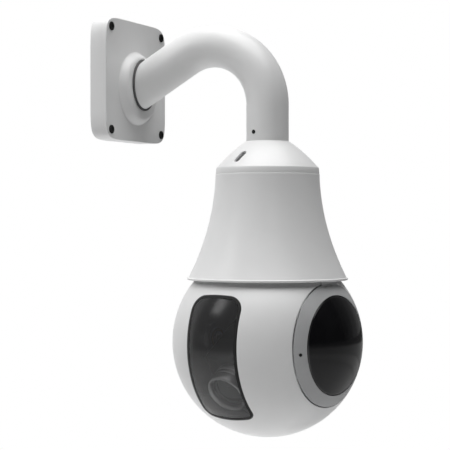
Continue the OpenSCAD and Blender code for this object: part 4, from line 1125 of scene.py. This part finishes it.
# margin from the window's outline, and radius, of each corner
seal_corners = [(SEAL_GAP, BALL_R - SHELL_T), (SEAL_GAP, BALL_R - 0.5), (SEAL_W - SEAL_GAP, BALL_R - 0.2),
                (SEAL_W - SEAL_GAP, BALL_R - SHELL_T)]
seal_section = eased(seal_corners, SEAL_SETBACKS)
seal_loops = np.stack([window_outline(-margin) for margin in seal_section[:, 0]])
window_bead = at_drum(on_ball(seal_loops, seal_section[:, 1]))
piece("window_bead", [(window_bead, True, True)], "tilt_head", "rubber_seal", "window_seal")

# %% [markdown]
# The window is a thin bent sheet. Its rows run from side to side at the heights of the seal's outline,
# over the outside and back along the inside, so no point is a pole and reflections run over it without
# a kink. A row at the middle of the thickness closes each end.

# %% Window pane
PANE_OUT, PANE_IN = BALL_R - 0.6, BALL_R - 3.0
PANE_COLS = 40

pane_edge = window_outline(-SEAL_W - SEAL_GAP)
right_side = pane_edge[pane_edge[:, 0] > 0]
right_side = right_side[np.argsort(right_side[:, 1])]
half_w, arc = right_side[:, :1], right_side[:, 1:]
over = np.linspace(-1, 1, PANE_COLS)
pane_loops = np.stack([half_w * np.concatenate([over, over[::-1]]), np.tile(arc, (1, 2 * PANE_COLS))], -1)
pane_radii = np.repeat([PANE_OUT, PANE_IN], PANE_COLS)[:, None]
sheet = on_ball(pane_loops, np.ones(len(pane_loops))) * pane_radii
ends = sheet[[0, -1]] * ((PANE_OUT + PANE_IN) / 2 / pane_radii)
sheet = np.concatenate([ends[:1], sheet, ends[1:]])
piece("window_pane", [(at_drum(sheet), False, True)], "tilt_head", "window_glass", "window")

# %% [markdown]
# ## What shows through the window
#
# Behind the smoked window sits the camera block: a dark case with rounded edges and a groove where its
# two halves meet. It only shows as a faint shape, but it gives the window its depth. Its loops are the
# same round rectangle as the window, set back row by row.

# %% Camera case
CASE_HALF = (31.0, 34.5)
CASE_FRONT, CASE_BACK = -70.0, 45.0
CASE_CORNER = 5.0
LEAST_CORNER = 0.4
CASE_MIDDLE = 30.9

# inset and depth of each row
case_rows = [(CASE_MIDDLE, CASE_FRONT), (2.0, CASE_FRONT), (0.6, CASE_FRONT + 0.6), (0.0, CASE_FRONT + 2.0),
             (0.0, -40.0), (0.5, -39.5), (0.5, -38.5), (0.0, -38.0), (0.0, CASE_BACK - 1.5),
             (1.5, CASE_BACK), (CASE_MIDDLE, CASE_BACK)]


def case_loop(inset):
    """The case's outline in x and z, smaller by an inset."""
    corner = max(CASE_CORNER - inset, LEAST_CORNER)
    return round_rectangle(CASE_HALF[0] - inset, CASE_HALF[1] - inset, corner, 0.0)


case = standing(np.stack([case_loop(inset) for inset, _ in case_rows]), [depth for _, depth in case_rows])
piece("camera_case", [(at_drum(case), False, True)], "tilt_head", "dark_plastic", "camera_block")

# %% [markdown]
# The lens ring is a turned tube with two grooves and a bevel towards the glass. The front lens is a cap
# of a large sphere with a short rim. Both are turned about the lens's axis.

# %% Lens ring and front lens
RING_SETBACKS = [0.3] * 2 + [0.25] * 8 + [0.4] * 4
RING_STEPS = 4
LENS_R = 19.4
LENS_CURVE_R = 45.0
LENS_TOP = 92.0
LENS_ROWS = 28

# radius and place along the lens's axis of each corner
ring_corners = [(19.55, 70.0), (24.0, 70.0), (24.0, 76.0), (23.2, 76.6), (23.2, 78.2), (24.0, 78.8),
                (24.0, 81.4), (23.2, 82.0), (23.2, 83.6), (24.0, 84.2), (24.0, 93.0), (23.0, 94.0),
                (21.6, 94.0), (19.55, 91.6)]
lens_ring = along_lens(lathe(eased(ring_corners, RING_SETBACKS, RING_STEPS), FULL_TURN))
piece("lens_ring", [(at_drum(lens_ring), True, True)], "tilt_head", "steel", "lens_barrel")

lens_d = np.linspace(0, LENS_R, LENS_ROWS)
lens_face = np.stack([lens_d, LENS_TOP - LENS_CURVE_R + np.sqrt(LENS_CURVE_R ** 2 - lens_d ** 2)], -1)
lens_rim = [[LENS_R, 85.0], [19.0, 84.2], [0.0, 84.0]]
lens_front = along_lens(lathe(np.concatenate([lens_face, lens_rim]), FULL_TURN))
piece("lens_front", [(at_drum(lens_front), False, True)], "tilt_head", "lens_glass", "front_lens")

# %% [markdown]
# ## Paint the nodes that stay
#
# The drives, boards, bearings and screws inside keep their CAD shapes, because nothing comes near
# enough to show their facets. Every node takes the finish of its slot in the record, also those that a
# new piece hides.

# %% Give every node its finish
slot_of = {part["node"]: part["material_slot"] for part in frame["record"]["subparts"]}
for node, obj in frame["nodes"].items():
    obj.data.materials.clear()
    obj.data.materials.append(FINISH[slot_of[node]])
print("painted", len(slot_of), "nodes in", len(set(slot_of.values())), "finishes")

# %% [markdown]
# ## Light
#
# Product pictures like this one are lit by large soft lamps. The largest hangs overhead and a little in
# front. A second one stands at the upper left, and weak ones at the lower left, at the right, behind
# and below keep the far edges from going dark. A small strip at the left is there for its reflection,
# the soft mark on the window. Only the overhead lamp and the strip show in gloss.

# %% Lamps
HEAD = (0.0, -0.19, -0.22)
WINDOW = (0.0, -0.19, -0.3)


def lamp(name, place, size, power, aim=HEAD, mirrored=False):
    """A soft lamp at a place, turned to face a point. Only a mirrored one shows in gloss and glass."""
    data = bpy.data.lights.new(name, "AREA")
    data.shape = "RECTANGLE"
    data.size, data.size_y = size
    data.energy = power
    obj = bpy.data.objects.new(name, data)
    obj.location = place
    obj.rotation_euler = (Vector(aim) - Vector(place)).to_track_quat("-Z", "Y").to_euler()
    obj.visible_camera = False
    obj.visible_glossy = mirrored
    bpy.context.scene.collection.objects.link(obj)
    print("lamp", name, power, "W")


lamp("overhead", place=(-0.475, -0.494, 2.57), size=(2.85, 2.85), power=98.0, mirrored=True)
lamp("upper_left", place=(-0.55, 0.75, 0.95), size=(1.2, 1.2), power=8.5)
lamp("lower_left", place=(-0.9, 1.1, -0.25), size=(0.8, 1.2), power=1.2)
lamp("upper_right", place=(0.9, -0.15, 0.9), size=(1.0, 1.0), power=3.0)
lamp("below", place=(-0.5, -0.35, -0.75), size=(1.2, 1.2), power=0.5)
lamp("strip", place=(-0.66, 0.52, 0.40), size=(0.26, 0.34), power=0.82, aim=WINDOW, mirrored=True)
lamp("back_right", place=(1.3, -0.25, 0.15), size=(1.0, 1.0), power=3.0)

# %% [markdown]
# ## Floor
#
# A pale round floor lies well below the head and sends a little light back up. To the eye it fades out
# a short way from the head, so that no edge shows, while light bounces off nearly all of it. From below
# it is clear, so the head can be looked at from there. In gloss and glass it shows as an even, bright
# grey.

# %% The floor's finish
FLOOR_R = 2.2
FLOOR_TONE = 0.76
FLOOR_ROUGH = 0.9
LIT_FADE = (1.8, FLOOR_R)
SEEN_FADE = (0.4, 1.8)
GLOSSY_GLOW = 0.6
HALF = 0.5
PAN_AXIS = np.array([0.0, -0.19, 0.0])


def grey(tone):
    """A neutral colour."""
    return (tone, tone, tone, 1.0)


floor_paint = bpy.data.materials.new("studio_floor")
floor_paint.use_nodes = True
tree = floor_paint.node_tree
shader = tree.nodes[PRINCIPLED]
shader.inputs["Base Color"].default_value = grey(FLOOR_TONE)
shader.inputs["Roughness"].default_value = FLOOR_ROUGH
shader.inputs["Emission Color"].default_value = grey(1.0)

from_axis = tree.nodes.new("ShaderNodeMapping")
from_axis.inputs["Location"].default_value = -PAN_AXIS
from_axis.inputs["Scale"].default_value = (1.0, 1.0, 0.0)
tree.links.new(object_place(tree), from_axis.inputs["Vector"])
distance = tree.nodes.new("ShaderNodeVectorMath")
distance.operation = "LENGTH"
tree.links.new(from_axis.outputs[0], distance.inputs[0])

path = tree.nodes.new("ShaderNodeLightPath").outputs
fade = tree.nodes.new("ShaderNodeMapRange")
fade.interpolation_type = "SMOOTHSTEP"
fade.inputs["To Min"].default_value = 1.0
fade.inputs["To Max"].default_value = 0.0
tree.links.new(distance.outputs["Value"], fade.inputs["Value"])
for label, lit, seen in zip(("From Min", "From Max"), LIT_FADE, SEEN_FADE):
    tree.links.new(between(tree, path["Is Camera Ray"], lit, seen), fade.inputs[label])

back_face = tree.nodes.new("ShaderNodeNewGeometry").outputs["Backfacing"]
from_above = combined(tree, "LESS_THAN", back_face, HALF)
tree.links.new(combined(tree, "MULTIPLY", fade.outputs["Result"], from_above), shader.inputs["Alpha"])
glow = combined(tree, "MULTIPLY", path["Is Glossy Ray"], GLOSSY_GLOW)
tree.links.new(glow, shader.inputs["Emission Strength"])
print("floor: seen to", SEEN_FADE[1], "m from the head, lit to", FLOOR_R, "m")

# %% [markdown]
# The floor is a disc of rings about the pan axis. It belongs to the studio and not to the camera, and it is
# made by the same function as the cloths of the next step.

# %% Floor
FLOOR_Z = -0.78
FLOOR_RINGS, FLOOR_COLS = 12, 96
FLOOR_HOLE = 0.001


def stage_piece(name, grid, wrap_cols, material):
    """A mesh from one grid of points in metres that belongs to the studio and not to the camera."""
    rows, cols = grid.shape[:2]
    mesh = bpy.data.meshes.new(name)
    mesh.from_pydata(grid.reshape(-1, 3).tolist(), [], cells(rows, cols, False, wrap_cols).tolist())
    mesh.materials.append(material)
    obj = bpy.data.objects.new(name, mesh)
    bpy.context.scene.collection.objects.link(obj)
    print("stage piece", name, "with", len(mesh.polygons), "faces")
    return obj


ring_r = np.linspace(FLOOR_HOLE, FLOOR_R, FLOOR_RINGS)
floor_grid = lathe(np.stack([ring_r, np.full(FLOOR_RINGS, FLOOR_Z)], -1), round_turn(FLOOR_COLS)) + PAN_AXIS
stage_piece("floor", floor_grid, True, floor_paint)

# %% [markdown]
# ## Cloths
#
# Gloss black and smoked plastic show the room more than themselves. In a studio, dark cloths and gauze
# are hung where such a surface would mirror the white room, and here too. They show in gloss alone: the
# eye, soft light and shadows pass through them. A cloth is a profile turned about the pan axis from one
# angle to another, and the share that its threads cover is its alpha.

# %% How a cloth is hung
CLOTH_R = 2.2
CLOTH_FOOT = -0.34
CLOTH_COLS = 64
CLOTH_TONE = 0.01


def cloth(name, profile, first, last, tone, cover=1.0):
    """A dull cloth of (radius, height) from one angle in degrees to another, seen in gloss only."""
    material = bpy.data.materials.new(name)
    material.use_nodes = True
    shader = material.node_tree.nodes[PRINCIPLED]
    shader.inputs["Base Color"].default_value = grey(tone)
    shader.inputs["Roughness"].default_value = 1.0
    shader.inputs["Specular IOR Level"].default_value = 0.0
    shader.inputs["Alpha"].default_value = cover
    turn = np.radians(np.linspace(first, last, CLOTH_COLS))
    obj = stage_piece(name, lathe(np.array(profile), turn) + PAN_AXIS, False, material)
    obj.visible_camera = False
    obj.visible_diffuse = False
    obj.visible_shadow = False


print("cloths hang", CLOTH_R, "m from the pan axis")

# %% [markdown]
# The dark cloth stands to the right of the eye, where the near cap looks. It thins out step by step
# away from the eye, which gives the cap its soft light rim. A gauze from the left round behind the eye
# dims what the window mirrors. Under the dark cloth a skirt runs through paler greys down to the floor,
# so that the cap's reflection grows lighter towards its lower edge.

# %% Hang the cloths
TALL = [(CLOTH_R, CLOTH_FOOT), (CLOTH_R, 1.2), (2.4, 2.0), (2.3, 3.0), (0.01, 3.2)]
GAUZE = [(CLOTH_R, -0.62)] + TALL[1:]
DARK_HEM, MID_HEM = (2.1, -0.46), (1.9, -0.65)
ON_FLOOR = FLOOR_Z + 0.005

cloth("dark_cloth", TALL, 232, 308, CLOTH_TONE)
cloth("thin_cloth_1", TALL, 308, 318, CLOTH_TONE, cover=0.97)
cloth("thin_cloth_2", TALL, 318, 328, CLOTH_TONE, cover=0.94)
cloth("thin_cloth_3", TALL, 328, 342, CLOTH_TONE, cover=0.90)
cloth("thin_cloth_4", TALL, 342, 368, CLOTH_TONE, cover=0.86)
cloth("gauze", GAUZE, 105, 232, CLOTH_TONE, cover=0.5)
cloth("skirt_dark", [DARK_HEM, (CLOTH_R, CLOTH_FOOT)], 240, 368, tone=0.08)
cloth("skirt_mid", [MID_HEM, DARK_HEM], 240, 368, tone=0.32)
cloth("grey_cloth", [(0.3, ON_FLOOR), (1.7, ON_FLOOR), MID_HEM], 240, 368, tone=0.48)

# %% [markdown]
# ## World
#
# The picture's background is plain white. The world is white to the eye and in gloss and glass. As
# light it is almost black, so that the lamps alone shape the head. The view transform is the plain one:
# a colour renders as it is written.

# %% World
WORLD_LIGHT = 0.01

world = bpy.data.worlds.new("studio")
bpy.context.scene.world = world
world.use_nodes = True
tree = world.node_tree
white = tree.nodes["Background"]
white.inputs["Color"].default_value = grey(1.0)
white.inputs["Strength"].default_value = 1.0
dim = tree.nodes.new("ShaderNodeBackground")
dim.inputs["Color"].default_value = grey(1.0)
dim.inputs["Strength"].default_value = WORLD_LIGHT
path = tree.nodes.new("ShaderNodeLightPath").outputs
mirrored = combined(tree, "MAXIMUM", path["Is Glossy Ray"], path["Is Transmission Ray"])
choose = tree.nodes.new("ShaderNodeMixShader")
tree.links.new(combined(tree, "MAXIMUM", path["Is Camera Ray"], mirrored), choose.inputs[0])
tree.links.new(dim.outputs[0], choose.inputs[1])
tree.links.new(white.outputs[0], choose.inputs[2])
tree.links.new(choose.outputs[0], tree.nodes["World Output"].inputs["Surface"])
bpy.context.scene.view_settings.view_transform = "Standard"
print("world: white to the eye, strength", WORLD_LIGHT, "as light")
